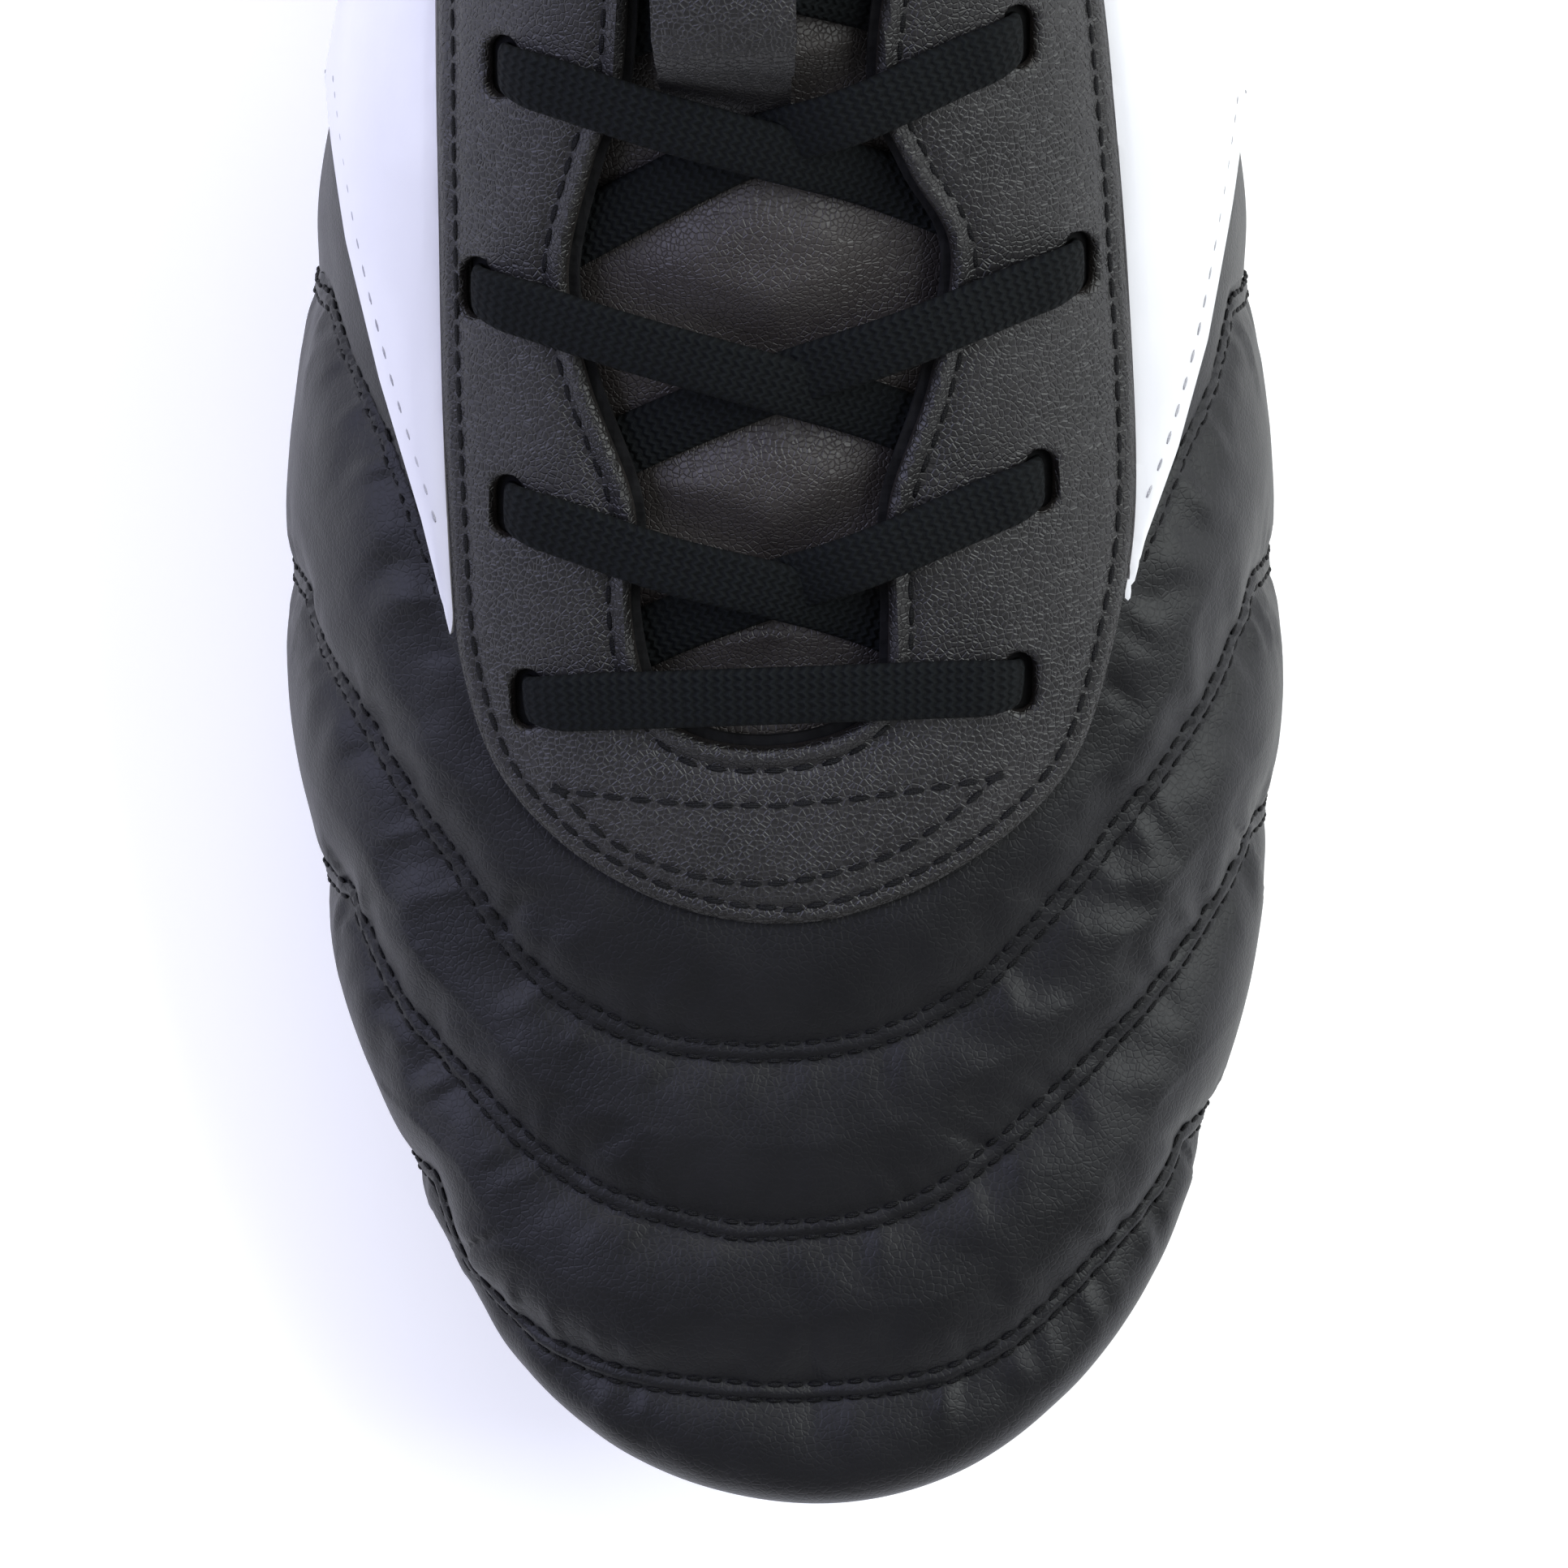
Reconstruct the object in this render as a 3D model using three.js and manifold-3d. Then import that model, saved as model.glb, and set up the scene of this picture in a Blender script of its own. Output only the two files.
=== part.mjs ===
// A right-foot leather soccer boot: a soleplate with screw-in studs, a lasted upper of
// leather, foam and lining layers, an eyestay laced over a padded tongue, and a padded heel.
// Millimetres. +Z is up, the toe points to -Y and the inner (big toe) side is +X.
import * as THREE from "three";
import { mergeVertices } from "three/addons/utils/BufferGeometryUtils.js";
import Module from "manifold-3d";

const wasm = await Module();
wasm.setup();

// Overall sizes.
const LENGTH = 285; // toe tip to back of heel
const BALL_WIDTH = 101.6; // widest, across the ball of the foot
const UPPER_HEIGHT = 103; // upper's lower edge to the top of the throat
// Running gap between pieces that touch.
const GAP = 0.3;
// Soleplate and studs.
const SOLE_THICKNESS = 4.2;
const SOLE_OVERHANG = 1.5; // how far the plate shows past the upper's lower edge
const TOE_SPRING = 9;
const ARCH_RISE = 4;
const BOSS_HEIGHT = 1.7; // stud boss below the plate
const BOSS_RADIUS = 10;
const FRONT_STUD = 12; // working height of a forefoot stud
const REAR_STUD = 15;
const STUD_FLANGE = 8;
const STUD_TIP = 5;
const STUD_FLAT = 13; // across the two spanner flats
const THREAD_RADIUS = 2.4;
const THREAD_LENGTH = 4.2;
const THREAD_CLEARANCE = 0.3;
const INSERT_RADIUS = 4;
const INSERT_HEIGHT = 4.4;
const SHANK_WIDTH = 18;
const SHANK_THICKNESS = 1;
// Layers inside the shoe, bottom.
const BOARD_THICKNESS = 1.8;
const SOCKLINER_THICKNESS = 3.5;
// Layers of the upper.
const LEATHER = 1.4;
const FOAM = 1.2;
const LINING = 1;
const FACING = 0.8; // under the eyestay, round the throat
const EYESTAY_THICKNESS = 1.2;
const SADDLE_THICKNESS = 1;
const HEEL_OVERLAY_THICKNESS = 1.3;
const COLLAR_BULGE = 4.5; // extra foam under the collar lining
const BINDING_RADIUS = 2.2;
const SEAM_ALLOWANCE = 2.2; // how far the vamp and quarters run under the eyestay
// Tongue.
const TONGUE_COVER = 1.1;
const TONGUE_FOAM = 4;
const TONGUE_LINING = 1;
const TONGUE_TIP = 21; // free length above the throat
const TONGUE_HALF_WIDTH = 22;
const TIP_NECK = 12; // half width of the free top where it leaves the throat
const TIP_HALF_WIDTH = 17;
const KEEPER_WIDTH = 12.8;
const KEEPER_THICKNESS = 1;
// Lace: a flat braid.
const LACE_WIDTH = 5.6;
const LACE_THICKNESS = 1.2;
const LACE_EASE = 0.9; // room for the lace under the stretched facing
const LACE_LOFT = 0.6; // how far a tight strand stands off the eyestay
const LACE_NECK = 4.2; // width where it bunches in an eyelet
const SLOT_LENGTH = 6.6;
const SLOT_WIDTH = 4;
const AGLET_LENGTH = 20;
const AGLET_RADIUS = 1.7;
const KNOT = [7, 5, 3.6]; // half sizes: across, along the boot, thick

// Layer levels, measured outwards from the upper's outer leather face.
const FOAM_TOP = -LEATHER - GAP;
const FOAM_BOTTOM = FOAM_TOP - FOAM;
const LINING_TOP = FOAM_BOTTOM - GAP;
const LINING_BOTTOM = LINING_TOP - LINING;
const LACE_UNDER = -FACING - GAP - LACE_EASE - LACE_THICKNESS / 2;
const LACE_OVER = GAP + EYESTAY_THICKNESS + LACE_LOFT + LACE_THICKNESS / 2;
const TONGUE_TOP = LACE_UNDER - LACE_THICKNESS / 2 - 1.6 * GAP;
const TONGUE_FOAM_TOP = TONGUE_TOP - TONGUE_COVER - GAP;
const TONGUE_LINING_TOP = TONGUE_FOAM_TOP - TONGUE_FOAM - GAP;

// The outline tables are drawn for a 285 x 101.6 mm boot and scale with it.
const SCALE_Y = LENGTH / 285;
const SCALE_X = BALL_WIDTH / 101.6;
const SCALE_Z = UPPER_HEIGHT / 103;
const plan = (pairs) =>
  pairs.map(([x, y]) => [x * SCALE_X, y * SCALE_Y]);

// Outline seen from above, toe (station 0) to heel (station 18): inner side x, outer side x,
// distance from the toe, height of the widest line over the lower edge, and how far the
// lower edge lies inside the outline.
const OUTLINE = [
  [3, 3, 0, 8, 4],
  [17.5, -12, 3.1, 8.5, 4],
  [29.5, -25, 12, 9.5, 4.5],
  [38, -33.5, 24, 10.5, 5],
  [43.3, -39.6, 38, 12, 5],
  [47.2, -44.9, 52, 12, 5],
  [49.6, -48, 67, 12, 5],
  [50.8, -50.4, 83, 12, 5],
  [50.2, -50.8, 100, 12, 5],
  [48.6, -49.2, 118, 12, 5],
  [47, -47.4, 136, 14, 6],
  [43.8, -43.6, 155, 16, 7],
  [39.5, -40.5, 175, 18, 7],
  [36, -38, 197, 20, 6],
  [34.5, -36, 221, 22, 5],
  [33.5, -34.5, 245, 23, 5],
  [27.5, -28.5, 267, 23, 5],
  [15, -15.5, 281, 23, 5],
  [0, 0, 285, 23, 5],
];
const HEEL = OUTLINE.length - 1;
// Crown line over the instep, stations 0 to 13: x, distance from the toe, height over the
// lower edge's level at the ball.
const SPINE = [
  [2.8, 17, 27],
  [2.7, 19.5, 28],
  [2.4, 25, 29.8],
  [2, 33, 32],
  [1.5, 43, 35],
  [1, 55, 39],
  [0.3, 68, 44],
  [-0.3, 83, 50],
  [-1, 100, 57],
  [-1.5, 118, 64.5],
  [-1.8, 137, 73],
  [-2, 156, 81.5],
  [-2, 178, 91.3],
  [-2, 206, 103],
];
const THROAT_TOP = SPINE.length - 1;
// Collar edge, stations 13 to 18: distance from the middle, from the toe, and height.
const COLLAR = [
  [0, 206, 103],
  [27.5, 216, 86],
  [31, 237, 74],
  [27, 258, 76],
  [14.5, 271, 81],
  [0, 275, 83],
];
const COLLAR_SLOPE = [0, 60, 80, 82, 82, 82]; // degrees below level, towards the outside

const STUDS = [
  ["stud_front_outer", -24, 55, FRONT_STUD],
  ["stud_front_inner", 27, 50, FRONT_STUD],
  ["stud_middle_outer", -27, 101, FRONT_STUD],
  ["stud_middle_inner", 28, 96, FRONT_STUD],
  ["stud_heel_outer", -17, 236, REAR_STUD],
  ["stud_heel_inner", 17, 236, REAR_STUD],
];
// Eyelets in pairs from the toe up: outer x, y, inner x, y.
const EYELETS = [
  [-25, 82.2, 22.9, 83.9],
  [-26.7, 101.5, 24.7, 104],
  [-29.6, 123, 28.3, 125.5],
  [-26.7, 144.5, 22.1, 147.4],
  [-25, 169, 22.5, 171],
  [-24.5, 193, 23, 195],
];
// Outlines seen from above.
const EYESTAY_EDGE = plan([
  [-22, 226], [-28.5, 215], [-31.5, 195], [-33.5, 175], [-33.7, 153], [-33.6, 120], [-32.9, 95], [-31.7, 84],
  [-28.3, 74.6], [-21.7, 67.2], [-13.5, 62.2], [-5.2, 59.8], [2, 59.6], [8, 60.8], [15.5, 63.9],
  [23.7, 69.7], [29.5, 77.1], [32.8, 88.7], [34.6, 102], [33.6, 124], [31.6, 145], [29.9, 160],
  [29.4, 180], [29, 200], [27, 215], [20, 226],
]);
const THROAT_EDGE = plan([
  [-17, 240], [-17, 205], [-15, 187], [-19, 178], [-20, 168], [-15.5, 158], [-15.5, 141.6],
  [-18.5, 134], [-21, 122], [-18.5, 111], [-14, 100], [-13.7, 86], [-12, 78], [-7.7, 75], [-1, 74],
  [6, 76], [11.5, 82], [11.5, 90], [10.1, 102], [15, 115], [16.4, 126], [12, 136], [9.5, 146],
  [11.5, 157], [16, 168], [14, 178], [12, 187], [13, 205], [13, 240],
]);
// Seam where the vamp ends and the quarters begin.
const VAMP_SEAM = plan([
  [-80, 152], [-47.5, 123.4], [-44.9, 116], [-40.7, 106.9], [-36.6, 96.9], [-33.3, 87.9], [-24, 74],
  [0, 68], [24, 74], [33.2, 87.9], [36.1, 95.3], [40.2, 104.4], [44.4, 113.5], [46.6, 122.6],
  [80, 152],
]);
const SADDLE_OUTER = plan([
  [-28, 84], [-32.8, 88.4], [-35.8, 100], [-39.9, 114], [-43.2, 128], [-45.7, 144], [-70, 160],
  [-70, 214], [-41, 192], [-28, 172],
]);
const SADDLE_INNER = plan([
  [28, 84], [32.6, 88.6], [35.2, 98], [38.6, 107], [41.9, 118], [44.4, 132], [46, 142], [70, 158],
  [70, 214], [39, 192], [26, 172],
]);

// ---- curves through the tables ----

function catmullRom(a, b, c, d, t) {
  return b.map((value, i) => {
    const slope = c[i] - a[i];
    const bend = 2 * a[i] - 5 * value + 4 * c[i] - d[i];
    const twist = 3 * value - a[i] - 3 * c[i] + d[i];
    return value + (t / 2) * (slope + t * (bend + t * twist));
  });
}

function through(row, station) {
  const i = Math.floor(station);
  return catmullRom(row(i - 1), row(i), row(i + 1), row(i + 2), station - i);
}

const past = (end, before) => end.map((value, i) => 2 * value - before[i]);

// Stations run -18..18: negative on the outer side, 0 at the toe, both ends at the heel.
function wrap(station) {
  if (station > HEEL) return station - 2 * HEEL;
  if (station < -HEEL) return station + 2 * HEEL;
  return station;
}

function outlineRow(index) {
  const i = wrap(index);
  const [inner, outer, y, rise, inset] = OUTLINE[Math.abs(i)];
  return [(i < 0 ? outer : inner) * SCALE_X, y * SCALE_Y, rise, inset];
}

function spineRow(index) {
  if (index > THROAT_TOP) return past(spineRow(THROAT_TOP), spineRow(THROAT_TOP - 1));
  const [x, y, z] = SPINE[Math.abs(index)];
  return [x * SCALE_X, y * SCALE_Y, lowerEdge(100 * SCALE_Y) + z * SCALE_Z];
}

// The collar line arches over the middle of the throat's top.
const mirrored = ([x, y, z, slope]) => {
  const [middle, top] = SPINE[THROAT_TOP];
  return [2 * middle * SCALE_X - x, 2 * top * SCALE_Y - y, z, -slope];
};

function collarRow(index, side) {
  if (index < THROAT_TOP) return mirrored(collarRow(2 * THROAT_TOP - index, side));
  if (index > HEEL) return collarRow(2 * HEEL - index, -side);
  const [x, y, z] = COLLAR[index - THROAT_TOP];
  const middle = index === THROAT_TOP ? SPINE[THROAT_TOP][0] : 0;
  const height = lowerEdge(100 * SCALE_Y) + z * SCALE_Z;
  return [(middle + side * x) * SCALE_X, y * SCALE_Y, height, COLLAR_SLOPE[index - THROAT_TOP]];
}

// ---- heights of the sole ----

const smooth = (t) => {
  const c = Math.min(Math.max(t, 0), 1);
  return c * c * (3 - 2 * c);
};

function soleBottom(y) {
  const share = y / SCALE_Y;
  const front = FRONT_STUD + GAP + BOSS_HEIGHT;
  const rise = (REAR_STUD - FRONT_STUD) * smooth((share - 110) / 90);
  const arch = ARCH_RISE * Math.exp(-(((share - 160) / 28) ** 2));
  const spring = TOE_SPRING * Math.max(0, 1 - share / 75) ** 2;
  return front + rise + arch + spring;
}

const soleTop = (y) => soleBottom(y) + SOLE_THICKNESS;
const lowerEdge = (y) => soleTop(y) + 3 * GAP;

// ---- the lasted surface ----

const LOWER = 0.2; // share of a profile below the widest line

function outward(station) {
  const a = through(outlineRow, station - 0.05);
  const b = through(outlineRow, station + 0.05);
  return new THREE.Vector3(b[1] - a[1], a[0] - b[0], 0).normalize();
}

function topEdge(station) {
  const s = Math.abs(station);
  const side = Math.sign(station) || 1;
  if (s > THROAT_TOP) {
    const [x, y, z, slope] = through((i) => collarRow(i, side), s);
    return { point: new THREE.Vector3(x, y, z), slope: THREE.MathUtils.degToRad(slope), climb: 0 };
  }
  const [x, y, z] = through(spineRow, s);
  const [, yNext, zNext] = through(spineRow, s + 0.02);
  return { point: new THREE.Vector3(x, y, z), slope: 0, climb: (zNext - z) / (yNext - y) };
}

function bezier(a, b, c, d, t) {
  const u = 1 - t;
  return new THREE.Vector3()
    .addScaledVector(a, u * u * u)
    .addScaledVector(b, 3 * u * u * t)
    .addScaledVector(c, 3 * u * t * t)
    .addScaledVector(d, t * t * t);
}

// A point of the outer leather face: station round the outline, level 0 (lower edge) to 1.
function surface(station, level) {
  const s = wrap(station);
  const [x, y, rise, inset] = through(outlineRow, s);
  const out = outward(s);
  const wide = new THREE.Vector3(x, y, lowerEdge(y) + rise);
  if (level < LOWER) {
    const foot = wide.clone().addScaledVector(out, -inset);
    foot.z -= rise;
    const near = foot.clone().addScaledVector(out, inset * 0.5);
    near.z += rise * 0.12;
    const under = wide.clone();
    under.z -= rise * 0.55;
    return bezier(foot, near, under, wide, level / LOWER);
  }
  const { point, slope, climb } = topEdge(s);
  const reach = Math.hypot(point.x - x, point.y - y);
  const height = point.z - wide.z;
  const above = wide.clone();
  above.z += height * (0.55 + 0.1 * Math.cos(slope));
  const back = new THREE.Vector3(out.x, out.y, out.y * climb);
  back.multiplyScalar(Math.cos(slope)).z -= Math.sin(slope);
  const pull = 0.58 * reach * Math.cos(slope) + 0.35 * height * Math.sin(slope);
  const before = point.clone().addScaledVector(back, pull);
  return bezier(wide, above, before, point, (level - LOWER) / (1 - LOWER));
}

function slopeNormal(station, level) {
  // Beyond the throat the profiles run out almost along the edge, so the slope is read lower.
  const highest = Math.abs(wrap(station)) > THROAT_TOP ? 0.95 : 0.998;
  const v = Math.min(Math.max(level, 0.002), highest);
  const along = surface(station + 0.02, v).sub(surface(station - 0.02, v));
  const up = surface(station, v + 0.002).sub(surface(station, v - 0.002));
  return along.cross(up).normalize();
}

function normal(station, level) {
  const n = slopeNormal(station, level);
  if (level > 0.98 && Math.abs(station) <= THROAT_TOP) n.add(slopeNormal(-station, level));
  return n.normalize();
}

const lifted = (station, level, offset) =>
  surface(station, level).addScaledVector(normal(station, level), offset);

// Station and level of the surface point above plan position (x, y), by Newton steps.
function locate(x, y) {
  let best = [Infinity, 1, 0.5];
  const side = x > SPINE[8][0] * SCALE_X ? 1 : -1;
  for (let s = 0.5; s < HEEL; s += 0.5)
    for (let v = 0.25; v < 1; v += 0.08) {
      const p = surface(side * s, v);
      const miss = Math.hypot(p.x - x, p.y - y);
      if (miss < best[0]) best = [miss, side * s, v];
    }
  let [, s, v] = best;
  for (let step = 0; step < 12; step++) {
    const p = surface(s, v);
    const ds = surface(s + 0.01, v).sub(p).divideScalar(0.01);
    const dv = surface(s, v + 0.002).sub(p).divideScalar(0.002);
    const det = ds.x * dv.y - ds.y * dv.x;
    const [ex, ey] = [x - p.x, y - p.y];
    s += THREE.MathUtils.clamp((ex * dv.y - ey * dv.x) / det, -0.6, 0.6);
    v = THREE.MathUtils.clamp(v + (ds.x * ey - ds.y * ex) / det, 0.21, 0.997);
  }
  return [s, v];
}

const above = (x, y, offset) => lifted(...locate(x, y), offset);

// ---- solids ----

function closedMesh(points, triangles) {
  const vertProperties = new Float32Array(points.flatMap((p) => [p.x, p.y, p.z]));
  const make = (tris) =>
    new wasm.Manifold(
      new wasm.Mesh({ numProp: 3, vertProperties, triVerts: new Uint32Array(tris.flat()) }),
    );
  const made = make(triangles);
  if (made.volume() > 0) return made;
  return make(triangles.map(([a, b, c]) => [a, c, b]));
}

function fromGeometry(geometry) {
  geometry.deleteAttribute("normal");
  geometry.deleteAttribute("uv");
  const g = mergeVertices(geometry, 1e-4);
  const corners = g.attributes.position;
  const points = [];
  for (let i = 0; i < corners.count; i++)
    points.push(new THREE.Vector3().fromBufferAttribute(corners, i));
  const triangles = [];
  for (let i = 0; i < g.index.count; i += 3)
    triangles.push([g.index.getX(i), g.index.getX(i + 1), g.index.getX(i + 2)]);
  return closedMesh(points, triangles);
}

const range = (from, to, count) =>
  Array.from({ length: count + 1 }, (_, i) => from + ((to - from) * i) / count);

// Slab between two faces over a grid: place(a, b, top) gives a corner of the top or lower face.
function slab(listA, listB, place) {
  const points = [];
  for (const top of [true, false])
    for (const a of listA) for (const b of listB) points.push(place(a, b, top));
  const [n, m] = [listA.length, listB.length];
  const at = (i, j, under) => under * n * m + i * m + j;
  const triangles = [];
  const quad = (a, b, c, d) => triangles.push([a, b, c], [a, c, d]);
  for (let i = 0; i + 1 < n; i++)
    for (let j = 0; j + 1 < m; j++) {
      quad(at(i, j, 0), at(i + 1, j, 0), at(i + 1, j + 1, 0), at(i, j + 1, 0));
      quad(at(i, j, 1), at(i, j + 1, 1), at(i + 1, j + 1, 1), at(i + 1, j, 1));
    }
  for (let i = 0; i + 1 < n; i++) {
    quad(at(i, 0, 0), at(i, 0, 1), at(i + 1, 0, 1), at(i + 1, 0, 0));
    quad(at(i, m - 1, 0), at(i + 1, m - 1, 0), at(i + 1, m - 1, 1), at(i, m - 1, 1));
  }
  for (let j = 0; j + 1 < m; j++) {
    quad(at(0, j, 0), at(0, j + 1, 0), at(0, j + 1, 1), at(0, j, 1));
    quad(at(n - 1, j, 0), at(n - 1, j, 1), at(n - 1, j + 1, 1), at(n - 1, j + 1, 0));
  }
  return closedMesh(points, triangles);
}

const STATIONS = [0, 0.6, 1.2, 2, 3, 4, 5.2, 6.4, 7.8, 9.3, 10.9, 12.4, 13, 13.25, 13.5, 14,
  14.6, 15.3, 16, 16.6, 17.3, 18];
const LEVELS = [0, 0.1, 0.2, 0.32, 0.44, 0.56, 0.67, 0.78, 0.89, 1];

// Runs of neighbouring stations between two stations, both sides of the boot.
function runs(from, to) {
  const inner = STATIONS.filter((s) => s >= from && s <= to);
  const outer = inner.map((s) => -s).reverse();
  if (from === 0 && to === HEEL) return [[...outer.slice(1), ...inner.slice(1)]];
  if (from === 0) return [[...outer, ...inner.slice(1)]];
  if (to === HEEL) return [[...inner, ...outer.slice(1)]];
  return [outer, inner];
}

// A layer of the upper, between two levels and two stations, joined over the crown.
function layer(top, bottom, { from = 0, to = HEEL, low = 0, high = 1 } = {}) {
  const levels = LEVELS.filter((v) => v >= low && v <= high);
  const index = new Map();
  const points = [];
  const corner = (station, v, upper) => {
    const s = v === 1 && Math.abs(station) <= THROAT_TOP ? Math.abs(station) : station;
    const key = [s, v, upper].join();
    if (!index.has(key)) {
      index.set(key, points.length);
      points.push(lifted(s, v, upper ? top(s, v) : bottom(s, v)));
    }
    return index.get(key);
  };
  const triangles = [];
  const quad = (a, b, c, d) => triangles.push([a, b, c], [a, c, d]);
  // A wall from the top face's edge a to b down to the lower face.
  const wall = (a, b) => quad(corner(...a, true), corner(...b, true), corner(...b, false),
    corner(...a, false));
  for (const run of runs(from, to)) {
    const closed = from === 0 && to === HEEL;
    const count = closed ? run.length : run.length - 1;
    for (let k = 0; k < count; k++) {
      const [s, next] = [run[k], run[(k + 1) % run.length]];
      for (let i = 0; i + 1 < levels.length; i++) {
        const [v, w] = [levels[i], levels[i + 1]];
        for (const upper of [true, false]) {
          const face = [[s, v], [next, v], [next, w], [s, w]];
          const turned = upper ? face : [face[0], face[3], face[2], face[1]];
          quad(...turned.map((p) => corner(...p, upper)));
        }
        if (!closed && k === 0) wall([s, v], [s, w]);
        if (!closed && k === count - 1) wall([next, w], [next, v]);
      }
      wall([next, levels[0]], [s, levels[0]]);
      const crown = high === 1 && Math.max(Math.abs(s), Math.abs(next)) <= THROAT_TOP;
      if (!crown) wall([s, levels.at(-1)], [next, levels.at(-1)]);
    }
  }
  return closedMesh(points, triangles);
}

const level = (value) => () => value;

// A tall prism over an outline seen from above.
function prism(points) {
  const shape = new THREE.Shape(points.map(([x, y]) => new THREE.Vector2(x, y)));
  return fromGeometry(new THREE.ExtrudeGeometry(shape, { depth: 400, bevelEnabled: false }));
}

// A prism across the boot over an outline (y, z) seen from the side.
function sidePrism(points) {
  const shape = new THREE.Shape(points.map(([y, z]) => new THREE.Vector2(y, z)));
  const geometry = new THREE.ExtrudeGeometry(shape, { depth: 400, bevelEnabled: false });
  geometry.rotateX(Math.PI / 2).rotateZ(Math.PI / 2).translate(-200, 0, 0);
  return fromGeometry(geometry);
}

// An outline through the points as one soft line, moved outwards (or in) by a distance.
function softened(points, away = 0, count = 40) {
  const curve = new THREE.SplineCurve(points.map(([x, y]) => new THREE.Vector2(x, y)));
  const turn = THREE.ShapeUtils.area(curve.points) > 0 ? 1 : -1;
  return range(0, 1, count).map((t) => {
    const p = curve.getPoint(t);
    const along = curve.getTangent(t);
    return [p.x + turn * along.y * away, p.y - turn * along.x * away];
  });
}

function box(x0, x1, y0, y1, z0, z1) {
  const g = new THREE.BoxGeometry(x1 - x0, y1 - y0, z1 - z0);
  return fromGeometry(g.translate((x0 + x1) / 2, (y0 + y1) / 2, (z0 + z1) / 2));
}

function turned(profile, x, y, z, sides = 14) {
  const g = new THREE.LatheGeometry(profile.map(([r, h]) => new THREE.Vector2(r, h)), sides);
  return fromGeometry(g.rotateX(Math.PI / 2).translate(x, y, z));
}

// ---- bottom pieces ----

// A plate whose edge follows the upper's lower edge, moved inwards by an inset.
function plate(inset, topHeight, bottomHeight) {
  const edge = (s) => {
    const [x, y, , own] = through(outlineRow, s);
    return new THREE.Vector3(x, y, 0).addScaledVector(outward(s), -own - inset);
  };
  const steps = range(0, HEEL, 27).slice(1, -1);
  const loop = [0, ...steps, HEEL, ...steps.map((s) => -s).reverse()].map(edge);
  const n = loop.length;
  const points = [topHeight, bottomHeight].flatMap((height) =>
    loop.map((p) => new THREE.Vector3(p.x, p.y, height(p.y))));
  const triangles = [];
  for (let i = 0; i < n / 2; i++) {
    const [a, b, c, d] = [i, i + 1, n - i - 1, (n - i) % n];
    if (a !== d) triangles.push([a, c, d], [a + n, d + n, c + n]);
    if (b !== c) triangles.push([a, b, c], [a + n, c + n, b + n]);
  }
  for (let i = 0; i < n; i++) {
    const j = (i + 1) % n;
    triangles.push([i, i + n, j + n], [i, j + n, j]);
  }
  return closedMesh(points, triangles);
}

const studBase = (height) => height + GAP;

function shankSlab(grow) {
  const half = SHANK_WIDTH / 2 + grow;
  const ys = range(122 * SCALE_Y - grow, 226 * SCALE_Y + grow, 12);
  return slab(ys, [-half, half], (y, x, top) => {
    const depth = top ? -GAP / 3 + (grow > 0) * 5 : -GAP / 3 - SHANK_THICKNESS - grow;
    return new THREE.Vector3(x, y, soleTop(y) + depth);
  });
}

function soleplate() {
  let solid = plate(-SOLE_OVERHANG, soleTop, soleBottom);
  for (const [, x, y, height] of STUDS) {
    const [px, py, base] = [x * SCALE_X, y * SCALE_Y, studBase(height)];
    const top = soleBottom(py) + SOLE_THICKNESS / 2;
    const boss = [[0, base], [BOSS_RADIUS - 1, base], [BOSS_RADIUS, base + 1],
      [BOSS_RADIUS, top], [0, top]];
    solid = solid.add(turned(boss, px, py, 0, 18));
  }
  for (const [, x, y, height] of STUDS) {
    const [px, py, base] = [x * SCALE_X, y * SCALE_Y, studBase(height)];
    const bore = INSERT_RADIUS + GAP;
    const roof = base + INSERT_HEIGHT + GAP;
    const hole = [[0, base - 5], [bore, base - 5], [bore, roof], [0, roof]];
    solid = solid.subtract(turned(hole, px, py, 0));
  }
  return solid.subtract(shankSlab(GAP));
}

function stud(x, y, height) {
  const thread = THREAD_LENGTH + GAP;
  const waist = STUD_TIP + (STUD_FLANGE - 1.2 - STUD_TIP) * 0.9;
  const profile = [[0, 0], [STUD_TIP - 0.7, 0], [STUD_TIP, 0.7], [waist, height - 2.4],
    [STUD_FLANGE, height - 1.8], [STUD_FLANGE, height], [THREAD_RADIUS, height],
    [THREAD_RADIUS, height + thread], [0, height + thread]];
  const solid = turned(profile, x, y, 0, 16);
  const flat = STUD_FLAT / 2;
  const side = box(flat, flat + 9, -9, 9, 2.5, height - 1.8);
  const cut = (piece, sign) =>
    piece.subtract(side.scale([sign, 1, 1]).translate([x, y, 0]));
  return cut(cut(solid, 1), -1);
}

function insert(x, y, height) {
  const bore = THREAD_RADIUS + THREAD_CLEARANCE;
  const [low, high] = [studBase(height), studBase(height) + INSERT_HEIGHT];
  const ring = [[bore, low], [INSERT_RADIUS, low], [INSERT_RADIUS, high], [bore, high], [bore, low]];
  return turned(ring, x, y, 0);
}

const boardTop = (y) => soleTop(y) + GAP + BOARD_THICKNESS;
const insoleBoard = () => plate(LEATHER + GAP, boardTop, (y) => soleTop(y) + GAP);
const sockliner = () =>
  plate(LINING - LINING_BOTTOM, (y) => boardTop(y) + GAP + SOCKLINER_THICKNESS,
    (y) => boardTop(y) + GAP);

// ---- upper ----

const vampArea = (shift) => {
  const far = -40 * SCALE_Y;
  const seam = VAMP_SEAM.map(([x, y]) => [x, y + shift]);
  return prism([...seam, [80 * SCALE_X, far], [-80 * SCALE_X, far]]);
};
const underEyestay = (away) => prism(softened(EYESTAY_EDGE, away));
const half = (side, from, to) => {
  const inner = side * GAP * 0.6;
  return box(Math.min(inner, side * 200), Math.max(inner, side * 200), from, to, -50, 300);
};

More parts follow.
